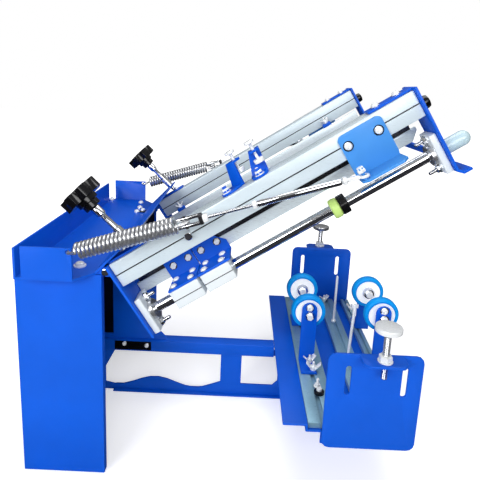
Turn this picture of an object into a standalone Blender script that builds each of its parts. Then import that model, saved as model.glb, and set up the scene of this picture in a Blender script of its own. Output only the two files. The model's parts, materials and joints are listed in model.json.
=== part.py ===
"""Tilting-arm screen printing machine for bottles and other round objects.

Metres, +Z up. X runs from the column to the work platform, Y from the operator to the
far side, and the origin lies on the floor under the middle of the spine's foot.
The arm is modelled in its own frame: u along it from the hinge, v along Y and w square
to both, and an empty on the hinge axis tilts it.
"""

import math

import bmesh
import bpy
from mathutils import Matrix, Vector

# Clearances and counts that every piece shares
GAP = 0.0003
OVERRUN = 0.002
BORE_PLAY = 0.0003
SIDES = 20
WHEEL_SIDES = 24
SMALL_SIDES = 12
HEX_SIDES = 6
SMOOTH_ANGLE = math.radians(40)
NEAR = -1
FAR = 1
SIDE_NAMES = {NEAR: "near", FAR: "far"}

# Sheet and bar stock
THIN_SHEET = 0.0025
PLATE = 0.003

# Column
COLUMN_LEFT = -0.256
COLUMN_WIDTH = 0.100
COLUMN_RIGHT = COLUMN_LEFT + COLUMN_WIDTH
COLUMN_HALF_DEPTH = 0.165
COLUMN_LIP = 0.010
DECK_UNDERSIDE = 0.262

# Middle planes of the arm's two sides, set in from the column's faces
PROFILE_INSET = 0.015
PROFILE_V = COLUMN_HALF_DEPTH - PROFILE_INSET

# Tray that caps the column and holds the hinge
TRAY_INSET = 0.0105
TRAY_LEFT = COLUMN_LEFT + TRAY_INSET
TRAY_OVERHANG = 0.022
TRAY_HALF_DEPTH = COLUMN_HALF_DEPTH + TRAY_OVERHANG
TRAY_WALL_HEIGHT = 0.036
TRAY_WALL_TOP = DECK_UNDERSIDE + TRAY_WALL_HEIGHT
TRAY_WALL_FAR_GAP = 0.021
TRAY_TAB_INSET = 0.019
TRAY_TAB_WIDTH = 0.056
TRAY_TAB_HEIGHT = 0.038
TRAY_TAB_LEFT = COLUMN_LEFT + TRAY_TAB_INSET
TRAY_TAB_RIGHT = TRAY_TAB_LEFT + TRAY_TAB_WIDTH
TRAY_TAB_TOP = DECK_UNDERSIDE + TRAY_TAB_HEIGHT
HOOK_HOLE_RADIUS = 0.00275
LIP_INSET = 0.0071
LIP_FOOT = COLUMN_RIGHT - LIP_INSET
LIP_ANGLE = math.radians(46.5)
LIP_HEIGHT = 0.043
LIP_TOP = DECK_UNDERSIDE + LIP_HEIGHT
LIP_HALF_DEPTH = COLUMN_HALF_DEPTH

# Hinge
HINGE_OUTWARD = 0.0042
HINGE_RISE = 0.0031
HINGE_X = COLUMN_RIGHT + HINGE_OUTWARD
HINGE_Z = DECK_UNDERSIDE + HINGE_RISE
ARM_TILT = math.radians(33)
SHAFT_RADIUS = 0.003
SHAFT_COLLAR_RADIUS = 0.004
SHAFT_COLLAR = 0.002
EAR_RADIUS = 0.005
TRAY_EAR_INWARD = 0.0235
TRAY_EAR_OUTWARD = 0.0100
TRAY_EARS = (PROFILE_V - TRAY_EAR_INWARD, PROFILE_V + TRAY_EAR_OUTWARD)
HEAD_EAR_INWARD = 0.0195
HEAD_EAR_OUTWARD = 0.0060
HEAD_EARS = (PROFILE_V - HEAD_EAR_INWARD, PROFILE_V + HEAD_EAR_OUTWARD)
EAR_SHEET = 0.003
EAR_DROP = 0.0055
EAR_RIGHT = 0.0045

# Stop screws with star knobs
STOP_OUTWARD = 0.002
STOP_V = PROFILE_V + STOP_OUTWARD
STOP_CROSSING_RUN = 0.0248
STOP_CROSSING_RISE = 0.0349
STOP_CROSSING_X = HINGE_X + STOP_CROSSING_RUN
STOP_CROSSING_Z = HINGE_Z + STOP_CROSSING_RISE
STOP_RADIUS = 0.00325
STOP_NOSE_RADIUS = 0.0015
STOP_NOSE = 0.002
STOP_SLEEVE_RADIUS = 0.005
STOP_SLEEVE_LENGTH = 0.018
STOP_TO_KNOB = 0.0745
KNOB_RADIUS = 0.0245
KNOB_THICKNESS = 0.015
KNOB_LOBES = 7
KNOB_LOBE_DEPTH = 0.003
KNOB_POINTS_PER_LOBE = 4
KNOB_HUB_RADIUS = 0.010
KNOB_HUB = 0.012
KNOB_EDGE = 0.0015

# Spine
SPINE_LEFT = -0.190
SPINE_RIGHT = 0.205
SPINE_FOOT_NEAR = -0.008
SPINE_FOOT_FAR = 0.012
SPINE_PANEL_RIGHT = -0.124
BEAM_TOP = 0.090
BEAM_LIP = 0.018
BEAM_INNER_RISE = 0.006
WINDOW_TOP = 0.070
WINDOW_SLANT_X = -0.206
WINDOW_SLANT_Z = 0.039
POST_LEFT = -0.022
POST_RIGHT = 0.0106
WAVE_LEVEL = 0.017
WAVE_HEIGHT = 0.008
WAVE_LENGTH = 0.122
WAVE_CREST_X = -0.124
WAVE_POINTS = 14
SMALL_WINDOW_RIGHT = 0.068
SMALL_WINDOW_BOTTOM = 0.019
SMALL_WINDOW_CUT = 0.008

# Platform
PLATFORM_LEFT = 0.060
PLATFORM_STEP = 0.0875
PLATFORM_RIGHT = 0.213
PLATFORM_TOP = 0.090
PLATFORM_DROP = 0.0075
PLATFORM_HALF_DEPTH = 0.175
PLATFORM_END_LIP = 0.016
RAIL_INSET = 0.0035
RAIL_HALF_DEPTH = PLATFORM_HALF_DEPTH - RAIL_INSET
LEFT_RAIL_RIGHT = 0.127
CENTRE_RAIL_LEFT = 0.155
CENTRE_RAIL_RIGHT = 0.181
RIGHT_RAIL_LEFT = 0.197
RIGHT_RAIL_RIGHT = 0.2105
RAIL_SLOT = 0.006
RAIL_SLOT_DEPTH = 0.0035
NARROW_SLOT = 0.003

# End plates of the platform
END_PLATE_LEFT = 0.103
END_PLATE_RIGHT = 0.213
END_PLATE_TOP = 0.189
END_PLATE_BOTTOM = 0.066
END_PLATE_CORNER = 0.009
END_SLOT_WIDTH = 0.0065
END_SLOT_INSET = 0.015
END_SLOT_HEIGHT = 0.037
END_SLOT_TOP = END_PLATE_TOP - END_SLOT_INSET
END_SLOT_BOTTOM = END_SLOT_TOP - END_SLOT_HEIGHT
END_SLOT_SPACING = 0.065
END_SLOT_OFFSET = 0.0055
# Each end plate is set along the machine and in height on its own.
END_PLATE_SHIFT = {NEAR: 0.0035, FAR: -0.003}
END_PLATE_DROP = {NEAR: 0.003, FAR: 0.0}
SCREW_SHIFT = {NEAR: 0.009, FAR: -0.0055}
TAB_WIDTH = 0.050
TAB_REACH = 0.023
TAB_CORNER = 0.006
CORNER_POINTS = 4

# Height screws
SCREW_RADIUS = 0.004
SCREW_OUTWARD = 0.015
SCREW_V = PLATFORM_HALF_DEPTH + SCREW_OUTWARD
SCREW_BELOW_TAB = 0.021
SCREW_HEAD_RISE = 0.0395
SCREW_HEAD_TOP = END_PLATE_TOP + SCREW_HEAD_RISE
SCREW_HEAD_RADIUS = 0.0150
SCREW_HEAD_EDGE = 0.003
SCREW_HEAD_CONE = 0.007
SCREW_NUT_RADIUS = 0.0075
SCREW_NUT = 0.0065
SCREW_WASHER_RADIUS = 0.0085
SCREW_WASHER = 0.001

# Wheels and their brackets
WHEEL_RADIUS = 0.025
WHEEL_WIDTH = 0.014
WHEEL_Z = 0.163
WHEEL_LEFT_X = 0.104
WHEEL_RIGHT_X = 0.210
WHEEL_NEAR_V = -0.029
WHEEL_FAR_V = 0.048
TYRE_INNER_RADIUS = 0.0185
TYRE_EDGE = 0.003
HUB_RADIUS = 0.0085
HUB_WIDTH = 0.012
WEB_WIDTH = 0.008
AXLE_RADIUS = 0.004
AXLE_HEAD_RADIUS = 0.0062
AXLE_HEAD = 0.004
BLADE_OFFSET = 0.0145
BLADE_WIDTH = 0.022
BLADE_TOP = 0.181
BLADE_ROUND_POINTS = 8
BRACKET_FOOT = 0.032

# Stop rods that stand on the centre rail
ROD_RADIUS = 0.00175
ROD_BALL_RADIUS = 0.004
ROD_TOP = 0.175
FAR_ROD_X = 0.166
FAR_ROD_V = 0.077
NEAR_ROD_X = 0.1685
NEAR_ROD_V = -0.027
NEAR_ROD_LEAN = math.radians(2.5)
WING_WIDTH = 0.010
WING_HEIGHT = 0.007
WING_SHEET = 0.002

# Arm: profiles
PROFILE_SIZE = 0.030
PROFILE_START = 0.0083
PROFILE_END = 0.3907
PROFILE_TOP = 0.005
PROFILE_SLOT = 0.006
PROFILE_SLOT_DEPTH = 0.006

# Arm: head plates and tail plates
END_PIECE_HALF_WIDTH = 0.020
END_PIECE_NEAR = PROFILE_V - END_PIECE_HALF_WIDTH
END_PIECE_FAR = PROFILE_V + END_PIECE_HALF_WIDTH
END_PIECE_BOTTOM = -0.094
STRAP_HALF_WIDTH = 0.010
STRAP_NEAR = PROFILE_V - STRAP_HALF_WIDTH
STRAP_FAR = PROFILE_V + STRAP_HALF_WIDTH
HEAD_STRAP_REACH = 0.058
STRAP_CHAMFER = 0.004
TAIL_STRAP_REACH = 0.050
TAIL_LIP_REACH = 0.013
TAIL_LIP_DROP = 0.006

# Arm: guide rods and what is on them
ROD_W = -0.070
GUIDE_RADIUS = 0.006
SUPPORT_RADIUS = 0.015
SUPPORT_THICKNESS = 0.008
SUPPORT_HUB_RADIUS = 0.010
SUPPORT_HUB = 0.005
BUMPER_START = 0.2565
BUMPER_THICKNESS = 0.010
BUMPER_RADIUS = 0.0115
BUMPER_EDGE = 0.002
COLLAR_THICKNESS = 0.0095
COLLAR_RADIUS = 0.0115

# Arm: caps, pull handle and cross strip
CAP_W = -0.015
CAP_RADIUS = 0.007
CAP_LENGTH = 0.010
CAP_EDGE = 0.002
HANDLE_RADIUS = 0.0085
HANDLE_LENGTH = 0.032
HANDLE_RINGS = 4
STRIP_TOP = -0.070
STRIP_HEIGHT = 0.010

# Arm: spring brackets
BRACKET_START = 0.297
BRACKET_END = 0.349
BRACKET_TOP = 0.002
BRACKET_BOTTOM = -0.049
BRACKET_FLANGE = 0.028
BRACKET_CORNER = 0.006
POST_RADIUS = 0.0018
POST_HEAD_RADIUS = 0.0035
POST_HEAD = 0.0025

# Springs and their tie rods
HOOK_INSET = 0.001
HOOK_DROP = 0.004
HOOK_X = TRAY_TAB_RIGHT - HOOK_INSET
HOOK_Z = TRAY_TAB_TOP - HOOK_DROP
SPRING_OUTWARD = 0.003
SPRING_V = TRAY_HALF_DEPTH + SPRING_OUTWARD
HOOK_RADIUS = 0.0034
LINK_END_INSET = 0.0043
LINK_END_RISE = 0.0071
LINK_END_U = BRACKET_START + LINK_END_INSET
LINK_END_W = BRACKET_BOTTOM + LINK_END_RISE
COIL_START = 0.0095
COIL_CURLS = 24
COIL_PITCH = 0.0046
COIL_RADIUS = 0.0075
WIRE_RADIUS = 0.00135
CURL_POINTS = 8
EYE_POINTS = 7
PIN_RADIUS = 0.0015
CLEVIS_LENGTH = 0.022
CLEVIS_PIN_INSET = 0.006
CLEVIS_WIDTH = 0.011
CLEVIS_BAR = 0.0035
TIE_RADIUS = 0.002
TIE_NUT_RADIUS = 0.0045
TIE_NUT = 0.006
SLEEVE_RADIUS = 0.0035
SLEEVE_START = 0.208
SLEEVE_END = 0.298
END_EYE_RADIUS = 0.006
END_EYE_BORE = 0.0038
END_EYE_THICKNESS = 0.0025

# Frame clamps on the near profile
CLAMP_LEAN = math.radians(13)
CLAMP_WIDTH_FOOT = 0.021
CLAMP_WIDTH_TOP = 0.013
CLAMP_HEIGHT = 0.029
CLAMP_TOP_LIP = 0.015
CLAMP_FOOT = 0.024
CLAMP_SHEET = 0.0025
CLAMP_SCREW_V = 0.009
CLAMP_STUD_V = 0.018
CLAMP_SCREW_RADIUS = 0.0018
CLAMP_HEAD_RADIUS = 0.0055
CLAMP_HEAD = 0.0045
CLAMP_HEAD_RISE = 0.007
CLAMP_PAD_RADIUS = 0.0065
CLAMP_PAD = 0.005
CLAMP_PAD_DROP = 0.011
CLAMP_STUD_RADIUS = 0.0025
CLAMP_STUD_RISE = 0.008
CLAMP_NUT_RADIUS = 0.0045
CLAMP_NUT = 0.003
LEFT_CLAMP_U = 0.1784
LEFT_CLAMP_TURN = math.radians(-45)
RIGHT_CLAMP_U = 0.208
RIGHT_CLAMP_TURN = 0.0
CLAMP_INSET = 0.010
CLAMP_V = CLAMP_INSET - PROFILE_V

# Carriages under the profiles
BLOCK_LENGTH = 0.037
BLOCK_PLAY = 0.004
BLOCK_START = 0.050
BLOCK_TOP = -0.058
BLOCK_BOTTOM = -0.080
BLOCK_HALF_WIDTH = 0.017
BLOCK_NEAR = PROFILE_V - BLOCK_HALF_WIDTH
BLOCK_FAR = PROFILE_V + BLOCK_HALF_WIDTH
BLOCK_EDGE = 0.0015
ANGLE_RISE = 0.025
ANGLE_CUT = 0.012
ANGLE_OVERHANG = 0.004
BAR_INSET = 0.0285
BAR_THICKNESS = 0.006
BAR_NEAR = PROFILE_V - BAR_INSET
BAR_FAR = BAR_NEAR + BAR_THICKNESS
BAR_START = 0.0075
BAR_END = 0.386
BAR_BOTTOM = -0.053
BAR_HEIGHT = 0.014
BAR_TIP_CUT = 0.010

# Places worked out from the sizes above
SPINE_FOOT_LEFT = COLUMN_LEFT + THIN_SHEET + GAP
PLATFORM_MIDDLE = (END_PLATE_LEFT + END_PLATE_RIGHT) / 2
PLATE_TOP = PLATFORM_TOP - PLATFORM_DROP
PLATE_BOTTOM = PLATE_TOP - THIN_SHEET
STRAP_TOP = PROFILE_TOP + GAP + THIN_SHEET
TAIL_PLATE_START = PROFILE_END + GAP
TAIL_PLATE_END = TAIL_PLATE_START + PLATE
HEAD_PLATE_START = PROFILE_START - GAP - PLATE
COIL_LENGTH = COIL_CURLS * COIL_PITCH
PIN_ALONG = COIL_START + COIL_LENGTH + 3 * HOOK_RADIUS

# Paint and metal: colour, metallic, roughness
PAINTS = {
    "blue_paint": ((0.010, 0.060, 0.620), 0.0, 0.35),
    "light_blue_paint": ((0.040, 0.220, 0.800), 0.0, 0.35),
    "aluminium": ((0.800, 0.830, 0.840), 0.6, 0.40),
    "grey_aluminium": ((0.330, 0.470, 0.540), 0.5, 0.45),
    "chrome": ((0.850, 0.850, 0.860), 1.0, 0.12),
    "spring_steel": ((0.500, 0.500, 0.500), 1.0, 0.25),
    "black_plastic": ((0.012, 0.012, 0.014), 0.0, 0.35),
    "azure_rubber": ((0.000, 0.300, 0.850), 0.0, 0.40),
    "yellow_rubber": ((0.560, 0.780, 0.160), 0.0, 0.45),
    "pale_grip": ((0.700, 0.830, 0.860), 0.0, 0.35),
}


def clear_scene():
    for obj in list(bpy.data.objects):
        bpy.data.objects.remove(obj, do_unlink=True)


def both(side, inner, outer):
    """The span from inner to outer on one side of the middle plane, lowest first."""
    return min(side * inner, side * outer), max(side * inner, side * outer)


def paint(name):
    """The Principled material of this name, made the first time that it is asked for."""
    found = bpy.data.materials.get(name)
    if found:
        return found
    colour, metallic, roughness = PAINTS[name]
    made = bpy.data.materials.new(name)
    made.use_nodes = True
    shader = made.node_tree.nodes["Principled BSDF"]
    shader.inputs["Base Color"].default_value = (*colour, 1.0)
    shader.inputs["Metallic"].default_value = metallic
    shader.inputs["Roughness"].default_value = roughness
    return made


def empty(name, place, parent=None, turn=(0, 0, 0)):
    made = bpy.data.objects.new(name, None)
    bpy.context.scene.collection.objects.link(made)
    made.parent = parent
    made.location = place
    made.rotation_euler = turn
    return made


# Shapes that add one closed body to a mesh under construction


def add_box(bm, low, high):
    low, high = Vector(low), Vector(high)
    place = Matrix.Translation((low + high) / 2) @ Matrix.Diagonal((*(high - low), 1))
    bmesh.ops.create_cube(bm, size=1, matrix=place)


def add_prism(bm, outline, axis, low, high):
    """Extrudes an outline along an axis. Its pairs are the other two coordinates in X, Y, Z order."""
    index = "XYZ".index(axis)
    corners = []
    for pair in outline:
        spot = list(pair)
        spot.insert(index, low)
        corners.append(bm.verts.new(spot))
    face = bm.faces.new(corners)
    extruded = bmesh.ops.extrude_face_region(bm, geom=[face])
    moved = [item for item in extruded["geom"] if isinstance(item, bmesh.types.BMVert)]
    shift = [0.0, 0.0, 0.0]
    shift[index] = high - low
    bmesh.ops.translate(bm, verts=moved, vec=shift)


def add_round(bm, axis, centre, radius, low, high, sides=SIDES):
    """A cylinder along an axis. Its centre is the other two coordinates."""
    outline = []
    for step in range(sides):
        angle = 2 * math.pi * (step + 0.5) / sides
        outline.append(
            (centre[0] + radius * math.cos(angle), centre[1] + radius * math.sin(angle))
        )
    add_prism(bm, outline, axis, low, high)


def add_turned(bm, axis, centre, profile, sides=SIDES):
    """Turns a closed profile of (radius, place along the axis) pairs round an axis."""
    index = "XYZ".index(axis)
    spots = []
    for radius, along in profile:
        spot = [centre[0] + radius, centre[1]]
        spot.insert(index, along)
        spots.append(bm.verts.new(spot))
    rim = [bm.edges.new((spots[i - 1], spots[i])) for i in range(len(spots))]
    pivot = list(centre)
    pivot.insert(index, 0.0)
    direction = [0.0, 0.0, 0.0]
    direction[index] = 1.0
    bmesh.ops.spin(
        bm, geom=spots + rim, cent=pivot, axis=direction, angle=2 * math.pi, steps=sides, use_merge=True
    )
    bmesh.ops.remove_doubles(bm, verts=bm.verts, dist=GAP / 100)
    bmesh.ops.dissolve_degenerate(bm, edges=bm.edges, dist=GAP / 100)


def rounded_rectangle(low, high, radius, points=CORNER_POINTS):
    """Corner arcs anticlockwise from the lower left."""
    centres = (
        (low[0] + radius, low[1] + radius, math.pi),
        (high[0] - radius, low[1] + radius, 1.5 * math.pi),
        (high[0] - radius, high[1] - radius, 0.0),
        (low[0] + radius, high[1] - radius, 0.5 * math.pi),
    )
    outline = []
    for x, y, start in centres:
        for step in range(points):
            angle = start + 0.5 * math.pi * step / (points - 1)
            outline.append((x + radius * math.cos(angle), y + radius * math.sin(angle)))
    return outline


def mesh_of(name, build):
    bm = bmesh.new()
    build(bm)
    bmesh.ops.recalc_face_normals(bm, faces=bm.faces)
    mesh = bpy.data.meshes.new(name)
    bm.to_mesh(mesh)
    bm.free()
    return mesh


def helper(name, build, parent, place, turn):
    """A hidden body that a Boolean joins or cuts."""
    made = bpy.data.objects.new(name, mesh_of(name, build))
    bpy.context.scene.collection.objects.link(made)
    made.parent = parent
    made.location = place
    made.rotation_euler = turn
    made.hide_render = True
    made.display_type = "WIRE"
    return made


def piece(name, finish, build, joins=(), cuts=(), parent=None, place=(0, 0, 0), turn=(0, 0, 0)):
    """One sub-part: a body, the bodies joined to it and those cut from it, in one frame."""
    mesh = mesh_of(name, build)
    mesh.shade_smooth()
    mesh.set_sharp_from_angle(angle=SMOOTH_ANGLE)
    mesh.materials.append(paint(finish))
    made = bpy.data.objects.new(name, mesh)
    bpy.context.scene.collection.objects.link(made)
    made.parent = parent
    made.location = place
    made.rotation_euler = turn
    for operation, shapes in (("UNION", joins), ("DIFFERENCE", cuts)):
        for number, shape in enumerate(shapes):
            label = f"{name}_{operation.lower()}_{number}"
            boolean = made.modifiers.new(label, "BOOLEAN")
            boolean.operation = operation
            boolean.solver = "EXACT"
            boolean.object = helper(label, shape, parent, place, turn)
    return made


# Base


def make_column():
    left, right = COLUMN_LEFT, COLUMN_RIGHT
    depth, sheet, lip = COLUMN_HALF_DEPTH, THIN_SHEET, COLUMN_LIP
    outline = [
        (left, -depth),
        (right, -depth),
        (right, -depth + lip),
        (right - sheet, -depth + lip),
        (right - sheet, -depth + sheet),
        (left + sheet, -depth + sheet),
        (left + sheet, depth - sheet),
        (right - sheet, depth - sheet),
        (right - sheet, depth - lip),
        (right, depth - lip),
        (right, depth),
        (left, depth),
    ]
    piece("column", "blue_paint", lambda bm: add_prism(bm, outline, "Z", 0.0, DECK_UNDERSIDE - GAP))


def wave_height(x):
    return WAVE_LEVEL + WAVE_HEIGHT * math.cos(2 * math.pi * (x - WAVE_CREST_X) / WAVE_LENGTH)


def make_spine():
    half = PLATE / 2
    deck = PLATE_BOTTOM - GAP
    ceiling = DECK_UNDERSIDE - GAP
    step = BEAM_TOP - WINDOW_TOP
    web = [
        (SPINE_FOOT_LEFT, 0.0),
        (SPINE_RIGHT, 0.0),
        (SPINE_RIGHT, deck),
        (PLATFORM_LEFT - GAP, deck),
        (PLATFORM_LEFT - GAP, BEAM_TOP),
        (SPINE_PANEL_RIGHT + step, BEAM_TOP),
        (SPINE_PANEL_RIGHT, BEAM_TOP + step),
        (SPINE_PANEL_RIGHT, ceiling),
        (SPINE_LEFT, ceiling),
        (SPINE_LEFT, BEAM_TOP + BEAM_INNER_RISE),
        (SPINE_FOOT_LEFT, BEAM_TOP + BEAM_INNER_RISE),
    ]
    slant = WINDOW_SLANT_X + PLATE
    window = [(POST_LEFT, WINDOW_TOP), (SPINE_LEFT + PLATE, WINDOW_TOP), (slant, WINDOW_SLANT_Z)]
    for number in range(WAVE_POINTS):
        x = slant + (POST_LEFT - slant) * number / (WAVE_POINTS - 1)
        window.append((x, wave_height(x)))
    small_window = [
        (POST_RIGHT, SMALL_WINDOW_BOTTOM),
        (SMALL_WINDOW_RIGHT - SMALL_WINDOW_CUT, SMALL_WINDOW_BOTTOM),
        (SMALL_WINDOW_RIGHT, SMALL_WINDOW_BOTTOM + SMALL_WINDOW_CUT),
        (SMALL_WINDOW_RIGHT, WINDOW_TOP),
        (POST_RIGHT, WINDOW_TOP),
    ]
    beam_end = PLATFORM_LEFT - GAP

    def top_flange(bm):
        section = [
            (SPINE_FOOT_NEAR, BEAM_TOP),
            (SPINE_FOOT_NEAR, BEAM_TOP - BEAM_LIP),
            (SPINE_FOOT_NEAR + THIN_SHEET, BEAM_TOP - BEAM_LIP),
            (SPINE_FOOT_NEAR + THIN_SHEET, BEAM_TOP - THIN_SHEET),
            (SPINE_FOOT_FAR, BEAM_TOP - THIN_SHEET),
            (SPINE_FOOT_FAR, BEAM_TOP),
        ]
        add_prism(bm, section, "X", SPINE_FOOT_LEFT, beam_end)

    def foot_flange(bm):
        add_box(bm, (SPINE_LEFT, SPINE_FOOT_NEAR, 0.0), (SPINE_RIGHT, SPINE_FOOT_FAR, THIN_SHEET))

    piece(
        "spine_plate",
        "blue_paint",
        lambda bm: add_prism(bm, web, "Y", -half, half),
        joins=(top_flange, foot_flange),
        cuts=(
            lambda bm: add_prism(bm, window, "Y", -half - OVERRUN, half + OVERRUN),
            lambda bm: add_prism(bm, small_window, "Y", -half - OVERRUN, half + OVERRUN),
        ),
    )


def lip_run(rise):
    """How far the sloping lip has moved along X after this rise."""
    return rise / math.tan(LIP_ANGLE)


def make_tray():
    sheet, floor = THIN_SHEET, DECK_UNDERSIDE
    depth = TRAY_HALF_DEPTH
    slope = (math.sin(LIP_ANGLE), math.cos(LIP_ANGLE))
    lip_end = LIP_FOOT + lip_run(LIP_TOP - floor)
    bend = sheet * math.tan(LIP_ANGLE / 2)
    section = [
        (TRAY_LEFT, TRAY_WALL_TOP),
        (TRAY_LEFT, floor),
        (LIP_FOOT, floor),
        (lip_end, LIP_TOP),
        (lip_end - sheet * slope[0], LIP_TOP + sheet * slope[1]),
        (LIP_FOOT - bend, floor + sheet),
        (TRAY_LEFT + sheet, floor + sheet),
        (TRAY_LEFT + sheet, TRAY_WALL_TOP),
    ]
    # The ears stay behind the head plates' rear faces through the whole tilt.
    rest = (math.cos(ARM_TILT), math.sin(ARM_TILT))
    bend_rise = EAR_RIGHT * (1 - rest[0]) / rest[1]
    ear_top = HINGE_Z + EAR_RADIUS
    ear = [
        (LIP_FOOT, floor + sheet / 2),
        (LIP_FOOT, floor),
        (COLUMN_RIGHT + GAP, floor),
        (COLUMN_RIGHT + EAR_RIGHT, HINGE_Z - EAR_DROP),
        (HINGE_X + EAR_RIGHT, HINGE_Z - EAR_DROP),
        (HINGE_X + EAR_RIGHT, HINGE_Z + bend_rise),
        (HINGE_X + EAR_RIGHT - (ear_top - HINGE_Z - bend_rise) * rest[1] / rest[0], ear_top),
        (LIP_FOOT + lip_run(ear_top - floor) - sheet / 2, ear_top + sheet / 2),
    ]

    def tabs(bm):
        for side in (NEAR, FAR):
            outer, inner = side * depth, side * (depth - sheet)
            low, high = min(outer, inner), max(outer, inner)
            add_box(bm, (TRAY_TAB_LEFT, low, floor + sheet / 2), (TRAY_TAB_RIGHT, high, TRAY_TAB_TOP))

    def wall_end(bm):
        low = (TRAY_LEFT - OVERRUN, depth - TRAY_WALL_FAR_GAP, floor + 2 * sheet)
        high = (TRAY_LEFT + sheet + OVERRUN, depth + OVERRUN, TRAY_WALL_TOP + OVERRUN)
        add_box(bm, low, high)

    def ears(bm):
        for side in (NEAR, FAR):
            for start in TRAY_EARS:
                low = min(side * start, side * (start + EAR_SHEET))
                add_prism(bm, ear, "Y", low, low + EAR_SHEET)

    def corners(bm):
        for side in (NEAR, FAR):
            outline = [
                (TRAY_TAB_RIGHT, side * depth),
                (LIP_FOOT, side * LIP_HALF_DEPTH),
                (lip_end + OVERRUN, side * LIP_HALF_DEPTH),
                (lip_end + OVERRUN, side * (depth + OVERRUN)),
                (TRAY_TAB_RIGHT, side * (depth + OVERRUN)),
            ]
            add_prism(bm, outline, "Z", floor - OVERRUN, LIP_TOP + 2 * OVERRUN)

    def bores(bm):
        ends = COLUMN_HALF_DEPTH + OVERRUN
        add_round(bm, "Y", (HINGE_X, HINGE_Z), SHAFT_RADIUS + BORE_PLAY, -ends, ends, SMALL_SIDES)

    def screw_holes(bm):
        for side in (NEAR, FAR):
            start = len(bm.verts)
            radius = STOP_RADIUS + BORE_PLAY
            add_round(bm, "Z", (0.0, 0.0), radius, -STOP_SLEEVE_LENGTH, STOP_SLEEVE_LENGTH, SMALL_SIDES)
            bm.verts.ensure_lookup_table()
            place = Matrix.Translation((STOP_CROSSING_X, side * STOP_V, STOP_CROSSING_Z))
            turned = place @ Matrix.Rotation(-LIP_ANGLE, 4, "Y")
            bmesh.ops.transform(bm, matrix=turned, verts=bm.verts[start:])

    def hook_holes(bm):
        for side in (NEAR, FAR):
            low, high = both(side, depth - sheet - OVERRUN, depth + OVERRUN)
            add_round(bm, "Y", (HOOK_X - HOOK_RADIUS, HOOK_Z), HOOK_HOLE_RADIUS, low, high, SMALL_SIDES)

    piece(
        "hinge_tray",
        "blue_paint",
        lambda bm: add_prism(bm, section, "Y", -depth, depth),
        joins=(tabs, ears),
        cuts=(wall_end, corners, bores, screw_holes, hook_holes),
    )


def make_hinge_shaft():
    end = TRAY_EARS[1] + EAR_SHEET + GAP
    profile = [
        (0.0, -end - SHAFT_COLLAR),
        (SHAFT_COLLAR_RADIUS, -end - SHAFT_COLLAR),
        (SHAFT_COLLAR_RADIUS, -end),
        (SHAFT_RADIUS, -end),
        (SHAFT_RADIUS, end),
        (SHAFT_COLLAR_RADIUS, end),
        (SHAFT_COLLAR_RADIUS, end + SHAFT_COLLAR),
        (0.0, end + SHAFT_COLLAR),
    ]
    piece(
        "hinge_shaft",
        "chrome",
        lambda bm: add_turned(bm, "Y", (0.0, 0.0), profile, SMALL_SIDES),
        place=(HINGE_X, 0, HINGE_Z),
    )


def knob_outline():
    outline = []
    count = KNOB_LOBES * KNOB_POINTS_PER_LOBE
    for number in range(count):
        angle = 2 * math.pi * number / count
        radius = KNOB_RADIUS - KNOB_LOBE_DEPTH * (1 - math.cos(KNOB_LOBES * angle)) / 2
        outline.append((radius * math.cos(angle), radius * math.sin(angle)))
    return outline


def make_star_knob(side):
    """Modelled along its own Z, from the screw's nose to the knob."""
    # The nose stops on the head strap's top face, whose height along the screw follows the tilt.
    arm_normal = (-math.sin(ARM_TILT), math.cos(ARM_TILT))
    screw = (-math.sin(LIP_ANGLE), math.cos(LIP_ANGLE))
    strap = (
        HINGE_X + (STRAP_TOP + GAP) * arm_normal[0],
        HINGE_Z + (STRAP_TOP + GAP) * arm_normal[1],
    )
    height = (STOP_CROSSING_X - strap[0]) * arm_normal[0] + (STOP_CROSSING_Z - strap[1]) * arm_normal[1]
    facing = screw[0] * arm_normal[0] + screw[1] * arm_normal[1]
    skew = math.sqrt(1 - facing * facing)
    reach = (height - STOP_NOSE_RADIUS * skew) / facing
    nose = (STOP_CROSSING_X - reach * screw[0], side * STOP_V, STOP_CROSSING_Z - reach * screw[1])
    lip = reach + THIN_SHEET + GAP
    profile = [
        (0.0, 0.0),
        (STOP_NOSE_RADIUS, 0.0),
        (STOP_RADIUS, STOP_NOSE),
        (STOP_RADIUS, lip),
        (STOP_SLEEVE_RADIUS, lip),
        (STOP_SLEEVE_RADIUS, lip + STOP_SLEEVE_LENGTH),
        (STOP_RADIUS, lip + STOP_SLEEVE_LENGTH),
        (STOP_RADIUS, STOP_TO_KNOB - KNOB_HUB),
        (KNOB_HUB_RADIUS, STOP_TO_KNOB - KNOB_HUB),
        (KNOB_HUB_RADIUS, STOP_TO_KNOB + KNOB_EDGE),
        (0.0, STOP_TO_KNOB + KNOB_EDGE),
    ]

    def star(bm):
        outline = knob_outline()
        layers = (
            (STOP_TO_KNOB, KNOB_EDGE),
            (STOP_TO_KNOB + KNOB_EDGE, 0.0),
            (STOP_TO_KNOB + KNOB_THICKNESS - KNOB_EDGE, 0.0),
            (STOP_TO_KNOB + KNOB_THICKNESS, KNOB_EDGE),
        )
        rings = []
        for height_now, inset in layers:
            scale = 1 - inset / KNOB_RADIUS
            rings.append([bm.verts.new((x * scale, y * scale, height_now)) for x, y in outline])
        for low, high in zip(rings, rings[1:]):
            for i in range(len(outline)):
                bm.faces.new((low[i - 1], low[i], high[i], high[i - 1]))
        bm.faces.new(rings[0])
        bm.faces.new(rings[-1])

    piece(
        f"star_knob_{SIDE_NAMES[side]}",
        "black_plastic",
        lambda bm: add_turned(bm, "Z", (0.0, 0.0), profile, SMALL_SIDES),
        joins=(star,),
        place=nose,
        turn=(0, -LIP_ANGLE, 0),
    )


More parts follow.
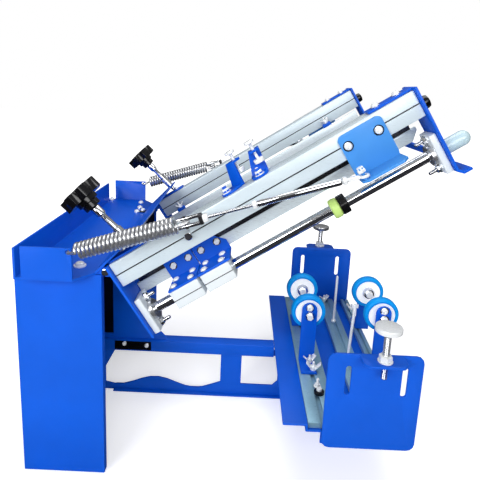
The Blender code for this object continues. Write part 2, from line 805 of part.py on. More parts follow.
def make_platform():
    sheet = THIN_SHEET
    section = [
        (PLATFORM_LEFT, PLATFORM_TOP),
        (PLATFORM_LEFT, PLATFORM_TOP - sheet),
        (PLATFORM_STEP, PLATFORM_TOP - sheet),
        (PLATFORM_STEP, PLATE_BOTTOM),
        (PLATFORM_RIGHT, PLATE_BOTTOM),
        (PLATFORM_RIGHT, PLATE_TOP),
        (PLATFORM_STEP + sheet, PLATE_TOP),
        (PLATFORM_STEP + sheet, PLATFORM_TOP),
    ]
    # The section's pairs are (x, z), so it is extruded along Y.
    depth = PLATFORM_HALF_DEPTH

    def end_lips(bm):
        for side in (NEAR, FAR):
            low = min(side * depth, side * (depth - sheet))
            bottom = PLATE_BOTTOM + sheet / 2 - PLATFORM_END_LIP
            left, right = END_PLATE_LEFT + sheet, END_PLATE_RIGHT - sheet
            add_box(bm, (left, low, bottom), (right, low + sheet, PLATE_BOTTOM + sheet / 2))

    piece(
        "platform_plate",
        "blue_paint",
        lambda bm: add_prism(bm, section, "Y", -depth, depth),
        joins=(end_lips,),
    )


def make_rail(name, left, right, slot):
    low, high = PLATE_TOP + GAP, PLATFORM_TOP
    middle = (left + right) / 2
    section = [
        (left, low),
        (right, low),
        (right, high),
        (middle + slot / 2, high),
        (middle + slot / 2, high - RAIL_SLOT_DEPTH),
        (middle - slot / 2, high - RAIL_SLOT_DEPTH),
        (middle - slot / 2, high),
        (left, high),
    ]
    piece(
        name,
        "grey_aluminium",
        lambda bm: add_prism(bm, section, "Y", -RAIL_HALF_DEPTH, RAIL_HALF_DEPTH),
    )


def make_end_plate(side):
    inner = PLATFORM_HALF_DEPTH + GAP
    outer = inner + PLATE
    low, high = min(side * inner, side * outer), max(side * inner, side * outer)
    shift = END_PLATE_SHIFT[side]
    lower_left = (END_PLATE_LEFT + shift, END_PLATE_BOTTOM)
    outline = rounded_rectangle(lower_left, (END_PLATE_RIGHT + shift, END_PLATE_TOP), END_PLATE_CORNER)
    slot_middle = PLATFORM_MIDDLE - side * END_SLOT_OFFSET
    middle = PLATFORM_MIDDLE + SCREW_SHIFT[side]

    def tab(bm):
        root, tip = side * (inner + PLATE / 2), side * (outer + TAB_REACH)
        left, right = middle - TAB_WIDTH / 2, middle + TAB_WIDTH / 2
        turn_in = side * TAB_CORNER
        plan = [
            (left, root),
            (right, root),
            (right, tip - turn_in),
            (right - TAB_CORNER, tip),
            (left + TAB_CORNER, tip),
            (left, tip - turn_in),
        ]
        add_prism(bm, plan, "Z", END_PLATE_TOP - PLATE, END_PLATE_TOP)

    def slots(bm):
        for centre in (slot_middle - END_SLOT_SPACING / 2, slot_middle + END_SLOT_SPACING / 2):
            half = END_SLOT_WIDTH / 2
            slot = rounded_rectangle((centre - half, END_SLOT_BOTTOM), (centre + half, END_SLOT_TOP), half)
            add_prism(bm, without_repeats(slot), "Y", low - OVERRUN, high + OVERRUN)

    def screw_hole(bm):
        radius = SCREW_RADIUS + BORE_PLAY
        top = END_PLATE_TOP + OVERRUN
        bottom = END_PLATE_TOP - PLATE - OVERRUN
        add_round(bm, "Z", (middle, side * SCREW_V), radius, bottom, top, SMALL_SIDES)

    piece(
        f"end_plate_{SIDE_NAMES[side]}",
        "blue_paint",
        lambda bm: add_prism(bm, outline, "Y", low, high),
        joins=(tab,),
        cuts=(slots, screw_hole),
        place=(0, 0, -END_PLATE_DROP[side]),
    )


def without_repeats(outline):
    """Drops a point that falls on the one before it, where two corner arcs meet."""
    kept = []
    for spot in outline:
        near = any(math.dist(spot, other) < GAP / 10 for other in kept)
        if not near:
            kept.append(spot)
    return kept


def make_height_screw(side):
    tab_top = END_PLATE_TOP - END_PLATE_DROP[side]
    seat = tab_top + GAP
    bottom = tab_top - SCREW_BELOW_TAB
    cone = SCREW_HEAD_TOP - SCREW_HEAD_EDGE - SCREW_HEAD_CONE
    profile = [
        (0.0, bottom),
        (SCREW_RADIUS, bottom),
        (SCREW_RADIUS, seat),
        (SCREW_WASHER_RADIUS, seat),
        (SCREW_WASHER_RADIUS, seat + SCREW_WASHER),
        (SCREW_RADIUS, seat + SCREW_WASHER),
        (SCREW_RADIUS, cone),
        (SCREW_HEAD_RADIUS, SCREW_HEAD_TOP - SCREW_HEAD_EDGE),
        (SCREW_HEAD_RADIUS, SCREW_HEAD_TOP),
        (0.0, SCREW_HEAD_TOP),
    ]

    def nut(bm):
        base = seat + SCREW_WASHER / 2
        add_round(bm, "Z", (0.0, 0.0), SCREW_NUT_RADIUS, base, base + SCREW_NUT, HEX_SIDES)

    piece(
        f"height_screw_{SIDE_NAMES[side]}",
        "chrome",
        lambda bm: add_turned(bm, "Z", (0.0, 0.0), profile, SIDES),
        joins=(nut,),
        place=(PLATFORM_MIDDLE + SCREW_SHIFT[side], side * SCREW_V, 0),
    )


def wheel_profile():
    half_hub, half_web, half_tyre = HUB_WIDTH / 2, WEB_WIDTH / 2, WHEEL_WIDTH / 2
    bore = AXLE_RADIUS + BORE_PLAY
    upper = [
        (bore, half_hub),
        (HUB_RADIUS, half_hub),
        (HUB_RADIUS, half_web),
        (TYRE_INNER_RADIUS, half_web),
        (TYRE_INNER_RADIUS, half_tyre),
        (WHEEL_RADIUS - TYRE_EDGE, half_tyre),
        (WHEEL_RADIUS, half_tyre - TYRE_EDGE),
    ]
    return upper + [(radius, -along) for radius, along in reversed(upper)]


def make_wheel(name, x, v):
    piece(
        name,
        "azure_rubber",
        lambda bm: add_turned(bm, "Y", (0.0, 0.0), wheel_profile(), WHEEL_SIDES),
        place=(x, v, WHEEL_Z),
    )


def make_wheel_bracket(name, x, v, away):
    """Blade beside the wheel, on the side that faces away from the middle of the platform."""
    foot = PLATFORM_TOP + GAP
    blade = away * BLADE_OFFSET
    back = blade - away * PLATE
    low, high = min(blade, back), max(blade, back)
    half = BLADE_WIDTH / 2
    outline = [(-half, foot - WHEEL_Z), (half, foot - WHEEL_Z)]
    centre = BLADE_TOP - half - WHEEL_Z
    for step in range(BLADE_ROUND_POINTS + 1):
        angle = math.pi * step / BLADE_ROUND_POINTS
        outline.append((half * math.cos(angle), centre + half * math.sin(angle)))

    def foot_plate(bm):
        near_end, far_end = back, blade + away * BRACKET_FOOT
        start, end = min(near_end, far_end), max(near_end, far_end)
        add_box(bm, (-half, start, foot - WHEEL_Z), (half, end, foot + PLATE - WHEEL_Z))

    def axle(bm):
        face = HUB_WIDTH / 2 + GAP
        profile = [
            (0.0, -face - AXLE_HEAD),
            (AXLE_HEAD_RADIUS, -face - AXLE_HEAD),
            (AXLE_HEAD_RADIUS, -face),
            (AXLE_RADIUS, -face),
            (AXLE_RADIUS, face),
            (AXLE_HEAD_RADIUS, face),
            (AXLE_HEAD_RADIUS, BLADE_OFFSET + AXLE_HEAD),
            (0.0, BLADE_OFFSET + AXLE_HEAD),
        ]
        along = [(radius, away * place) for radius, place in profile]
        add_turned(bm, "Y", (0.0, 0.0), along, SMALL_SIDES)

    piece(
        name,
        "blue_paint",
        lambda bm: add_prism(bm, outline, "Y", low, high),
        joins=(foot_plate, axle),
        place=(x, v, WHEEL_Z),
    )


def make_far_rod():
    foot = PLATFORM_TOP + GAP
    profile = [(0.0, foot)]
    for step in range(1, BLADE_ROUND_POINTS):
        angle = math.pi * step / BLADE_ROUND_POINTS
        radius = ROD_BALL_RADIUS * math.sin(angle)
        height = foot + ROD_BALL_RADIUS * (1 - math.cos(angle))
        if radius > ROD_RADIUS or angle < math.pi / 2:
            profile.append((radius, height))
    profile += [(ROD_RADIUS, foot + 2 * ROD_BALL_RADIUS), (ROD_RADIUS, ROD_TOP), (0.0, ROD_TOP)]
    piece(
        "stop_rod_far",
        "chrome",
        lambda bm: add_turned(bm, "Z", (0.0, 0.0), profile, SMALL_SIDES),
        place=(FAR_ROD_X, FAR_ROD_V, 0),
    )


def make_near_rod():
    lift = ROD_RADIUS * math.sin(NEAR_ROD_LEAN)
    length = ROD_TOP - PLATFORM_TOP

    def wing(bm):
        half = WING_WIDTH / 2
        outline = [
            (-half, length),
            (-half, length - WING_HEIGHT / 2),
            (0.0, length - WING_HEIGHT),
            (half, length - WING_HEIGHT / 2),
            (half, length),
            (0.0, length - WING_HEIGHT / 2),
        ]
        add_prism(bm, outline, "Y", -WING_SHEET / 2, WING_SHEET / 2)

    piece(
        "stop_rod_near",
        "chrome",
        lambda bm: add_round(bm, "Z", (0.0, 0.0), ROD_RADIUS, 0.0, length, SMALL_SIDES),
        joins=(wing,),
        place=(NEAR_ROD_X, NEAR_ROD_V, PLATFORM_TOP + GAP + lift),
        turn=(0, NEAR_ROD_LEAN, 0),
    )


# Arm


def make_profile(side, arm):
    half, slot, depth = PROFILE_SIZE / 2, PROFILE_SLOT / 2, PROFILE_SLOT_DEPTH
    centre = PROFILE_TOP - half
    quarter = [(-half, -half), (-slot, -half), (-slot, -half + depth), (slot, -half + depth), (slot, -half)]
    outline = []
    for turn in range(4):
        c, s = round(math.cos(turn * math.pi / 2)), round(math.sin(turn * math.pi / 2))
        outline += [(c * a - s * b, s * a + c * b) for a, b in quarter]
    placed = [(side * PROFILE_V + a, centre + b) for a, b in outline]
    piece(
        f"profile_{SIDE_NAMES[side]}",
        "aluminium",
        lambda bm: add_prism(bm, placed, "X", PROFILE_START, PROFILE_END),
        parent=arm,
    )


def make_head_plate(side, arm):
    low, high = both(side, END_PIECE_NEAR, END_PIECE_FAR)
    start, end = HEAD_PLATE_START, HEAD_PLATE_START + PLATE

    def strap(bm):
        under = PROFILE_TOP + GAP
        outline = [
            (start, 0.0),
            (end, 0.0),
            (end, under),
            (HEAD_STRAP_REACH, under),
            (HEAD_STRAP_REACH, STRAP_TOP),
            (start + STRAP_CHAMFER, STRAP_TOP),
            (start, STRAP_TOP - STRAP_CHAMFER),
        ]
        add_prism(bm, outline, "Y", *both(side, STRAP_NEAR, STRAP_FAR))

    def ears(bm):
        for place in HEAD_EARS:
            outline = [(start + PLATE / 2, EAR_RADIUS), (0.0, EAR_RADIUS)]
            for step in range(1, BLADE_ROUND_POINTS):
                angle = math.pi / 2 + math.pi * step / BLADE_ROUND_POINTS
                outline.append((EAR_RADIUS * math.cos(angle), EAR_RADIUS * math.sin(angle)))
            outline += [(0.0, -EAR_RADIUS), (start + PLATE / 2, -EAR_RADIUS)]
            add_prism(bm, outline, "Y", *both(side, place, place + EAR_SHEET))

    def bore(bm):
        ends = both(side, END_PIECE_NEAR - OVERRUN, END_PIECE_FAR + OVERRUN)
        add_round(bm, "Y", (0.0, 0.0), SHAFT_RADIUS + BORE_PLAY, *ends, SMALL_SIDES)

    piece(
        f"head_plate_{SIDE_NAMES[side]}",
        "blue_paint",
        lambda bm: add_box(bm, (start, low, END_PIECE_BOTTOM), (end, high, PROFILE_TOP)),
        joins=(strap, ears),
        cuts=(bore,),
        parent=arm,
    )


def make_tail_plate(side, arm):
    low, high = both(side, END_PIECE_NEAR, END_PIECE_FAR)
    start, end = TAIL_PLATE_START, TAIL_PLATE_END
    under = PROFILE_TOP + GAP
    bottom = END_PIECE_BOTTOM
    section = [
        (start, under),
        (start, bottom),
        (start + TAIL_LIP_DROP, bottom - TAIL_LIP_DROP),
        (end + TAIL_LIP_REACH, bottom - TAIL_LIP_DROP),
        (end + TAIL_LIP_REACH, bottom - TAIL_LIP_DROP + PLATE),
        (start + TAIL_LIP_DROP + PLATE / 2, bottom - TAIL_LIP_DROP + PLATE),
        (end, bottom + PLATE / 2),
        (end, STRAP_TOP),
        (start, STRAP_TOP),
    ]

    def strap(bm):
        reach = PROFILE_END - TAIL_STRAP_REACH
        span = both(side, STRAP_NEAR, STRAP_FAR)
        add_box(bm, (reach, span[0], under), (start + PLATE / 2, span[1], STRAP_TOP))

    piece(
        f"tail_plate_{SIDE_NAMES[side]}",
        "blue_paint",
        lambda bm: add_prism(bm, section, "Y", low, high),
        joins=(strap,),
        parent=arm,
    )


def make_guide_rod(side, arm):
    start = HEAD_PLATE_START + PLATE + GAP
    end = TAIL_PLATE_START - GAP
    centre = (side * PROFILE_V, ROD_W)
    piece(
        f"guide_rod_{SIDE_NAMES[side]}",
        "chrome",
        lambda bm: add_round(bm, "X", centre, GUIDE_RADIUS, start, end),
        parent=arm,
    )


def make_rod_support(side, end_name, face, inward, arm):
    """A flanged ring on a plate's inner face, with a hub that grips the rod."""
    bore = GUIDE_RADIUS + BORE_PLAY
    seat = face + inward * GAP
    flange = seat + inward * SUPPORT_THICKNESS
    hub = flange + inward * SUPPORT_HUB
    profile = [
        (bore, seat),
        (SUPPORT_RADIUS, seat),
        (SUPPORT_RADIUS, flange),
        (SUPPORT_HUB_RADIUS, flange),
        (SUPPORT_HUB_RADIUS, hub),
        (bore, hub),
    ]
    piece(
        f"rod_support_{end_name}_{SIDE_NAMES[side]}",
        "aluminium",
        lambda bm: add_turned(bm, "X", (side * PROFILE_V, ROD_W), profile),
        parent=arm,
    )


def make_stop_ring(side, arm):
    """Rubber bumper backed by a clamping collar, as one piece on the guide rod."""
    bore = GUIDE_RADIUS + BORE_PLAY
    start = BUMPER_START
    middle = start + BUMPER_THICKNESS
    end = middle + COLLAR_THICKNESS
    profile = [
        (bore, start),
        (BUMPER_RADIUS - BUMPER_EDGE, start),
        (BUMPER_RADIUS, start + BUMPER_EDGE),
        (BUMPER_RADIUS, middle),
        (COLLAR_RADIUS - BUMPER_EDGE, middle),
        (COLLAR_RADIUS - BUMPER_EDGE, end),
        (bore, end),
    ]
    piece(
        f"stop_ring_{SIDE_NAMES[side]}",
        "yellow_rubber",
        lambda bm: add_turned(bm, "X", (side * PROFILE_V, ROD_W), profile),
        parent=arm,
    )


def make_end_cap(side, arm):
    start = TAIL_PLATE_END + GAP
    profile = [
        (0.0, start),
        (CAP_RADIUS, start),
        (CAP_RADIUS, start + CAP_LENGTH - CAP_EDGE),
        (CAP_RADIUS - CAP_EDGE, start + CAP_LENGTH),
        (0.0, start + CAP_LENGTH),
    ]
    piece(
        f"end_cap_{SIDE_NAMES[side]}",
        "black_plastic",
        lambda bm: add_turned(bm, "X", (side * PROFILE_V, CAP_W), profile, SMALL_SIDES),
        parent=arm,
    )


def make_pull_handle(arm):
    start = TAIL_PLATE_END + GAP
    dome = start + HANDLE_LENGTH - HANDLE_RADIUS
    profile = [(0.0, start), (HANDLE_RADIUS, start)]
    for step in range(HANDLE_RINGS):
        angle = 0.5 * math.pi * step / HANDLE_RINGS
        profile.append((HANDLE_RADIUS * math.cos(angle), dome + HANDLE_RADIUS * math.sin(angle)))
    profile.append((0.0, start + HANDLE_LENGTH))
    piece(
        "pull_handle",
        "pale_grip",
        lambda bm: add_turned(bm, "X", (NEAR * PROFILE_V, ROD_W), profile, SMALL_SIDES),
        parent=arm,
    )


def make_cross_strip(arm):
    """Flat bar on the inner faces of both tail plates, clear of the rod supports."""
    reach = PROFILE_V - SUPPORT_RADIUS - OVERRUN / 4
    end = TAIL_PLATE_START - GAP
    low = (end - PLATE, -reach, STRIP_TOP - STRIP_HEIGHT)
    piece("cross_strip", "blue_paint", lambda bm: add_box(bm, low, (end, reach, STRIP_TOP)), parent=arm)


def make_spring_bracket(side, arm):
    inner = PROFILE_V + PROFILE_SIZE / 2 + GAP
    outer = inner + THIN_SHEET
    outline = rounded_rectangle(
        (BRACKET_START, BRACKET_BOTTOM), (BRACKET_END, BRACKET_TOP), BRACKET_CORNER
    )
    top = BRACKET_BOTTOM + THIN_SHEET
    post_top = LINK_END_W + END_EYE_RADIUS + POST_HEAD / 2

    def flange(bm):
        low, high = both(side, inner, outer + BRACKET_FLANGE)
        start, end = BRACKET_START, BRACKET_END
        tip = high if side == FAR else low
        root = low if side == FAR else high
        cut = side * BRACKET_CORNER
        plan = [
            (start, root),
            (end, root),
            (end, tip - cut),
            (end - BRACKET_CORNER, tip),
            (start + BRACKET_CORNER, tip),
            (start, tip - cut),
        ]
        add_prism(bm, plan, "Z", BRACKET_BOTTOM, top)

    def post(bm):
        centre = (LINK_END_U, side * SPRING_V)
        profile = [
            (0.0, BRACKET_BOTTOM + THIN_SHEET / 2),
            (POST_RADIUS, BRACKET_BOTTOM + THIN_SHEET / 2),
            (POST_RADIUS, post_top),
            (POST_HEAD_RADIUS, post_top),
            (POST_HEAD_RADIUS, post_top + POST_HEAD),
            (0.0, post_top + POST_HEAD),
        ]
        add_turned(bm, "Z", centre, profile, SMALL_SIDES)

    piece(
        f"spring_bracket_{SIDE_NAMES[side]}",
        "light_blue_paint",
        lambda bm: add_prism(bm, outline, "Y", *both(side, inner, outer)),
        joins=(flange, post),
        parent=arm,
    )


def clamp_frame(name, u, turn, arm):
    """Frame on the near profile's top face whose -Y side is the clamp's open side."""
    seat = empty(f"{name}_seat", (u, CLAMP_V, PROFILE_TOP + GAP), arm, (0, 0, turn))
    return seat


def make_clamp(name, u, turn, lip_side, arm):
    """A foot towards the operator, a leaning web, and a top lip on either side of that web."""
    seat = clamp_frame(name, u, turn, arm)
    lean = math.tan(CLAMP_LEAN) * CLAMP_HEIGHT
    half_foot, half_top = CLAMP_WIDTH_FOOT / 2, CLAMP_WIDTH_TOP / 2
    sheet = CLAMP_SHEET
    web = [
        (-half_foot, 0.0),
        (half_foot, 0.0),
        (lean + half_top, CLAMP_HEIGHT),
        (lean - half_top, CLAMP_HEIGHT),
    ]

    def top_lip(bm):
        end, corner = lip_side * CLAMP_TOP_LIP, lip_side * (CLAMP_TOP_LIP - half_top / 2)
        plan = [
            (lean - half_top, sheet / 2),
            (lean + half_top, sheet / 2),
            (lean + half_top, corner),
            (lean + half_top / 2, end),
            (lean - half_top / 2, end),
            (lean - half_top, corner),
        ]
        add_prism(bm, plan, "Z", CLAMP_HEIGHT - sheet, CLAMP_HEIGHT)

    def foot(bm):
        plan = [(-half_foot, sheet / 2), (half_foot, sheet / 2)]
        for step in range(BLADE_ROUND_POINTS + 1):
            angle = -math.pi * step / BLADE_ROUND_POINTS
            reach = -CLAMP_FOOT / 2 + CLAMP_FOOT / 2 * math.sin(angle)
            plan.append((half_foot * math.cos(angle), reach))
        add_prism(bm, plan, "Z", 0.0, sheet)

    def stud(bm):
        profile = [
            (0.0, sheet / 2),
            (CLAMP_NUT_RADIUS, sheet / 2),
            (CLAMP_NUT_RADIUS, sheet + CLAMP_NUT),
            (CLAMP_STUD_RADIUS, sheet + CLAMP_NUT),
            (CLAMP_STUD_RADIUS, sheet + CLAMP_STUD_RISE),
            (0.0, sheet + CLAMP_STUD_RISE),
        ]
        add_turned(bm, "Z", (0.0, -CLAMP_STUD_V), profile, SMALL_SIDES)

    def thread_hole(bm):
        low, high = CLAMP_HEIGHT - sheet - OVERRUN, CLAMP_HEIGHT + OVERRUN
        centre = (lean, lip_side * CLAMP_SCREW_V)
        add_round(bm, "Z", centre, CLAMP_SCREW_RADIUS + BORE_PLAY, low, high, SMALL_SIDES)

    piece(
        f"{name}_clamp",
        "blue_paint",
        lambda bm: add_prism(bm, web, "Y", 0.0, sheet),
        joins=(top_lip, foot, stud),
        cuts=(thread_hole,),
        parent=seat,
    )
    pad_top = -CLAMP_PAD_DROP
    profile = [
        (0.0, pad_top - CLAMP_PAD),
        (CLAMP_PAD_RADIUS, pad_top - CLAMP_PAD),
        (CLAMP_PAD_RADIUS, pad_top),
        (CLAMP_SCREW_RADIUS, pad_top),
        (CLAMP_SCREW_RADIUS, CLAMP_HEAD_RISE),
        (CLAMP_HEAD_RADIUS, CLAMP_HEAD_RISE),
        (CLAMP_HEAD_RADIUS, CLAMP_HEAD_RISE + CLAMP_HEAD),
        (0.0, CLAMP_HEAD_RISE + CLAMP_HEAD),
    ]
    piece(
        f"{name}_thumb_screw",
        "chrome",
        lambda bm: add_turned(bm, "Z", (0.0, 0.0), profile, SMALL_SIDES),
        parent=seat,
        place=(lean, lip_side * CLAMP_SCREW_V, CLAMP_HEIGHT),
    )


# Carriages


def make_carriage(side, arm):
    rail = empty(f"carriage_{SIDE_NAMES[side]}", (0, 0, 0), arm)
    inner, outer = BLOCK_NEAR, BLOCK_FAR
    centre = (side * PROFILE_V, ROD_W)
    second = BLOCK_START + BLOCK_LENGTH + BLOCK_PLAY
    for label, start in (("left", BLOCK_START), ("right", second)):
        low, high = both(side, inner, outer)
        section = [
            (low + BLOCK_EDGE, BLOCK_BOTTOM),
            (high - BLOCK_EDGE, BLOCK_BOTTOM),
            (high, BLOCK_BOTTOM + BLOCK_EDGE),
            (high, BLOCK_TOP - BLOCK_EDGE),
            (high - BLOCK_EDGE, BLOCK_TOP),
            (low + BLOCK_EDGE, BLOCK_TOP),
            (low, BLOCK_TOP - BLOCK_EDGE),
            (low, BLOCK_BOTTOM + BLOCK_EDGE),
        ]
        stop = start + BLOCK_LENGTH
        piece(
            f"bearing_block_{label}_{SIDE_NAMES[side]}",
            "aluminium",
            lambda bm: add_prism(bm, section, "X", start, stop),
            cuts=(
                lambda bm: add_round(
                    bm, "X", centre, GUIDE_RADIUS + BORE_PLAY, start - OVERRUN, stop + OVERRUN
                ),
            ),
            parent=rail,
        )
    make_carriage_angle(side, second + BLOCK_LENGTH, rail)
    make_screen_bar(side, rail)


def make_carriage_angle(side, end, rail):
    """Angle on the block tops whose upright leg holds the screen bar."""
    seat = BLOCK_TOP + GAP
    start = BLOCK_START
    leg = BAR_FAR + GAP
    stop = end + ANGLE_OVERHANG
    top = seat + ANGLE_RISE
    upright = [
        (start, seat),
        (stop, seat),
        (stop, top - ANGLE_CUT),
        (stop - ANGLE_CUT, top),
        (start, top),
    ]

    def flat_leg(bm):
        low, high = both(side, leg + THIN_SHEET / 2, BLOCK_FAR)
        add_box(bm, (start, low, seat), (stop, high, seat + THIN_SHEET))

    piece(
        f"carriage_angle_{SIDE_NAMES[side]}",
        "blue_paint",
        lambda bm: add_prism(bm, upright, "Y", *both(side, leg, leg + THIN_SHEET)),
        joins=(flat_leg,),
        parent=rail,
    )


def make_screen_bar(side, rail):
    bottom, top = BAR_BOTTOM, BAR_BOTTOM + BAR_HEIGHT
    outline = [
        (BAR_START, bottom),
        (BAR_END - BAR_TIP_CUT, bottom),
        (BAR_END, bottom + BAR_TIP_CUT),
        (BAR_END, top),
        (BAR_START, top),
    ]
    piece(
        f"screen_bar_{SIDE_NAMES[side]}",
        "grey_aluminium",
        lambda bm: add_prism(bm, outline, "Y", *both(side, BAR_NEAR, BAR_FAR)),
        parent=rail,
    )


# Springs


def link_geometry():
    """Length and slope of the line from the tray's hook edge to the bracket's post."""
    c, s = math.cos(ARM_TILT), math.sin(ARM_TILT)
    end_x = HINGE_X + LINK_END_U * c - LINK_END_W * s
    end_z = HINGE_Z + LINK_END_U * s + LINK_END_W * c
    run, rise = end_x - HOOK_X, end_z - HOOK_Z
    return math.hypot(run, rise), math.atan2(rise, run)


def wire_loop(centre, aside, outward):
    """Three quarters of a ring that ends on its outer side, in (along, inward) pairs."""
    spots = []
    for step in range(EYE_POINTS):
        angle = 1.5 * math.pi * (1 - step / (EYE_POINTS - 1)) - 0.5 * math.pi
        along, across = HOOK_RADIUS * math.cos(angle), HOOK_RADIUS * math.sin(angle)
        spots.append((centre - outward * along, aside + across))
    return spots


def coil_route(side):
    """Points along the link for the hook, the coil and the eye, as one wire."""
    inward = -side
    hook_aside = SPRING_V - TRAY_HALF_DEPTH + THIN_SHEET / 2
    route = [(along, inward * across, 0.0) for along, across in wire_loop(0.0, hook_aside, 1)]
    steps = COIL_CURLS * CURL_POINTS
    for step in range(steps + 1):
        angle = side * math.pi / 2 + 2 * math.pi * step / CURL_POINTS
        along = COIL_START + COIL_LENGTH * step / steps
        route.append((along, COIL_RADIUS * math.sin(angle), COIL_RADIUS * math.cos(angle)))
    loop = wire_loop(PIN_ALONG, 0.0, -1)
    route += [(along, inward * across, 0.0) for along, across in reversed(loop)]
    return route


def least_gap(route):
    """Smallest clearance between stretches of the wire that aren't neighbours along it."""
    skip = CURL_POINTS // 2
    least = math.inf
    for i, a in enumerate(route):
        for b in route[i + skip :]:
            least = min(least, math.dist(a, b))
    return least - 2 * WIRE_RADIUS


def make_spring(side):
    _, slope = link_geometry()
    name = SIDE_NAMES[side]
    pivot = empty(f"spring_link_{name}", (HOOK_X, side * SPRING_V, HOOK_Z), None, (0, -slope, 0))
    route = coil_route(side)
    print(f"spring_coil_{name}: least gap {1000 * least_gap(route):.2f} mm")
    curve = bpy.data.curves.new(f"spring_coil_{name}", "CURVE")
    curve.dimensions = "3D"
    curve.bevel_depth = WIRE_RADIUS
    curve.bevel_resolution = 1
    curve.use_fill_caps = True
    spline = curve.splines.new("POLY")
    spline.points.add(len(route) - 1)
    for point, spot in zip(spline.points, route):
        point.co = (*spot, 1.0)
    curve.materials.append(paint("spring_steel"))
    coil = bpy.data.objects.new(f"spring_coil_{name}", curve)
    bpy.context.scene.collection.objects.link(coil)
    coil.parent = pivot
    make_tie_rod(side, pivot)


def make_tie_rod(side, pivot):
    """Clevis, threaded rod with its sleeve, and the end eye round the bracket's post."""
    length, slope = link_geometry()
    fork_start = PIN_ALONG - CLEVIS_PIN_INSET
    fork_end = fork_start + CLEVIS_LENGTH
    nut_end = fork_end + TIE_NUT
    eye_start = length - END_EYE_RADIUS + (END_EYE_RADIUS - END_EYE_BORE) / 2
    profile = [
        (0.0, fork_end - CLEVIS_BAR / 2),
        (TIE_NUT_RADIUS, fork_end - CLEVIS_BAR / 2),
        (TIE_NUT_RADIUS, nut_end),
        (TIE_RADIUS, nut_end),
        (TIE_RADIUS, SLEEVE_START),
        (SLEEVE_RADIUS, SLEEVE_START),
        (SLEEVE_RADIUS, SLEEVE_END),
        (TIE_RADIUS, SLEEVE_END),
        (TIE_RADIUS, eye_start),
        (0.0, eye_start),
    ]
    half = CLEVIS_WIDTH / 2
    bar = CLEVIS_BAR / 2

    def fork(bm):
        inner = half - CLEVIS_BAR
        start = fork_start
        outline = [
            (start, -half),
            (fork_end, -half),
            (fork_end, half),
            (start, half),
            (start, inner),
            (fork_end - CLEVIS_BAR, inner),
            (fork_end - CLEVIS_BAR, -inner),
            (start, -inner),
        ]
        add_prism(bm, outline, "Y", -bar, bar)

    def cross_pin(bm):
        low, high = -half + bar, half - bar
        add_round(bm, "Z", (PIN_ALONG, 0.0), PIN_RADIUS, low, high, SMALL_SIDES)

    def end_eye(bm):
        half_eye = END_EYE_THICKNESS / 2
        eye = [
            (END_EYE_BORE, -half_eye),
            (END_EYE_RADIUS, -half_eye),
            (END_EYE_RADIUS, half_eye),
            (END_EYE_BORE, half_eye),
        ]
        add_turned(bm, "Z", (length, 0.0), eye, SMALL_SIDES)

    piece(
        f"tie_rod_{SIDE_NAMES[side]}",
        "chrome",
        lambda bm: add_turned(bm, "X", (0.0, 0.0), profile, SMALL_SIDES),
        joins=(fork, cross_pin, end_eye),
        parent=pivot,
    )


def make_base():
    make_column()
    make_spine()
    make_tray()
    make_hinge_shaft()
    make_platform()
    make_rail("rail_left", PLATFORM_STEP + THIN_SHEET + GAP, LEFT_RAIL_RIGHT, RAIL_SLOT)
    make_rail("rail_centre", CENTRE_RAIL_LEFT, CENTRE_RAIL_RIGHT, RAIL_SLOT)
    make_rail("rail_right", RIGHT_RAIL_LEFT, RIGHT_RAIL_RIGHT, NARROW_SLOT)
    for side in (NEAR, FAR):
        make_star_knob(side)
        make_end_plate(side)
        make_height_screw(side)
    for label, x in (("left", WHEEL_LEFT_X), ("right", WHEEL_RIGHT_X)):
        for side, v in ((NEAR, WHEEL_NEAR_V), (FAR, WHEEL_FAR_V)):
            make_wheel(f"wheel_{label}_{SIDE_NAMES[side]}", x, v)
            make_wheel_bracket(f"wheel_bracket_{label}_{SIDE_NAMES[side]}", x, v, side)
    make_far_rod()
    make_near_rod()


def make_arm():
    arm = empty("arm_hinge", (HINGE_X, 0, HINGE_Z), None, (0, -ARM_TILT, 0))
    for side in (NEAR, FAR):
        make_profile(side, arm)
        make_head_plate(side, arm)
        make_tail_plate(side, arm)
        make_guide_rod(side, arm)
        make_rod_support(side, "head", HEAD_PLATE_START + PLATE, 1, arm)
        make_rod_support(side, "tail", TAIL_PLATE_START, -1, arm)
        make_stop_ring(side, arm)
        make_end_cap(side, arm)
        make_spring_bracket(side, arm)
        make_carriage(side, arm)
    make_pull_handle(arm)
    make_cross_strip(arm)
    make_clamp("left", LEFT_CLAMP_U, LEFT_CLAMP_TURN, FAR, arm)
    make_clamp("right", RIGHT_CLAMP_U, RIGHT_CLAMP_TURN, NEAR, arm)


def main():
    clear_scene()
    make_base()
    make_arm()
    for side in (NEAR, FAR):
        make_spring(side)


main()
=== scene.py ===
"""Bottle screen printing machine dressed over its CAD frame, laid out as an add-on."""

import json
import math

import bpy
from mathutils import Matrix, Vector


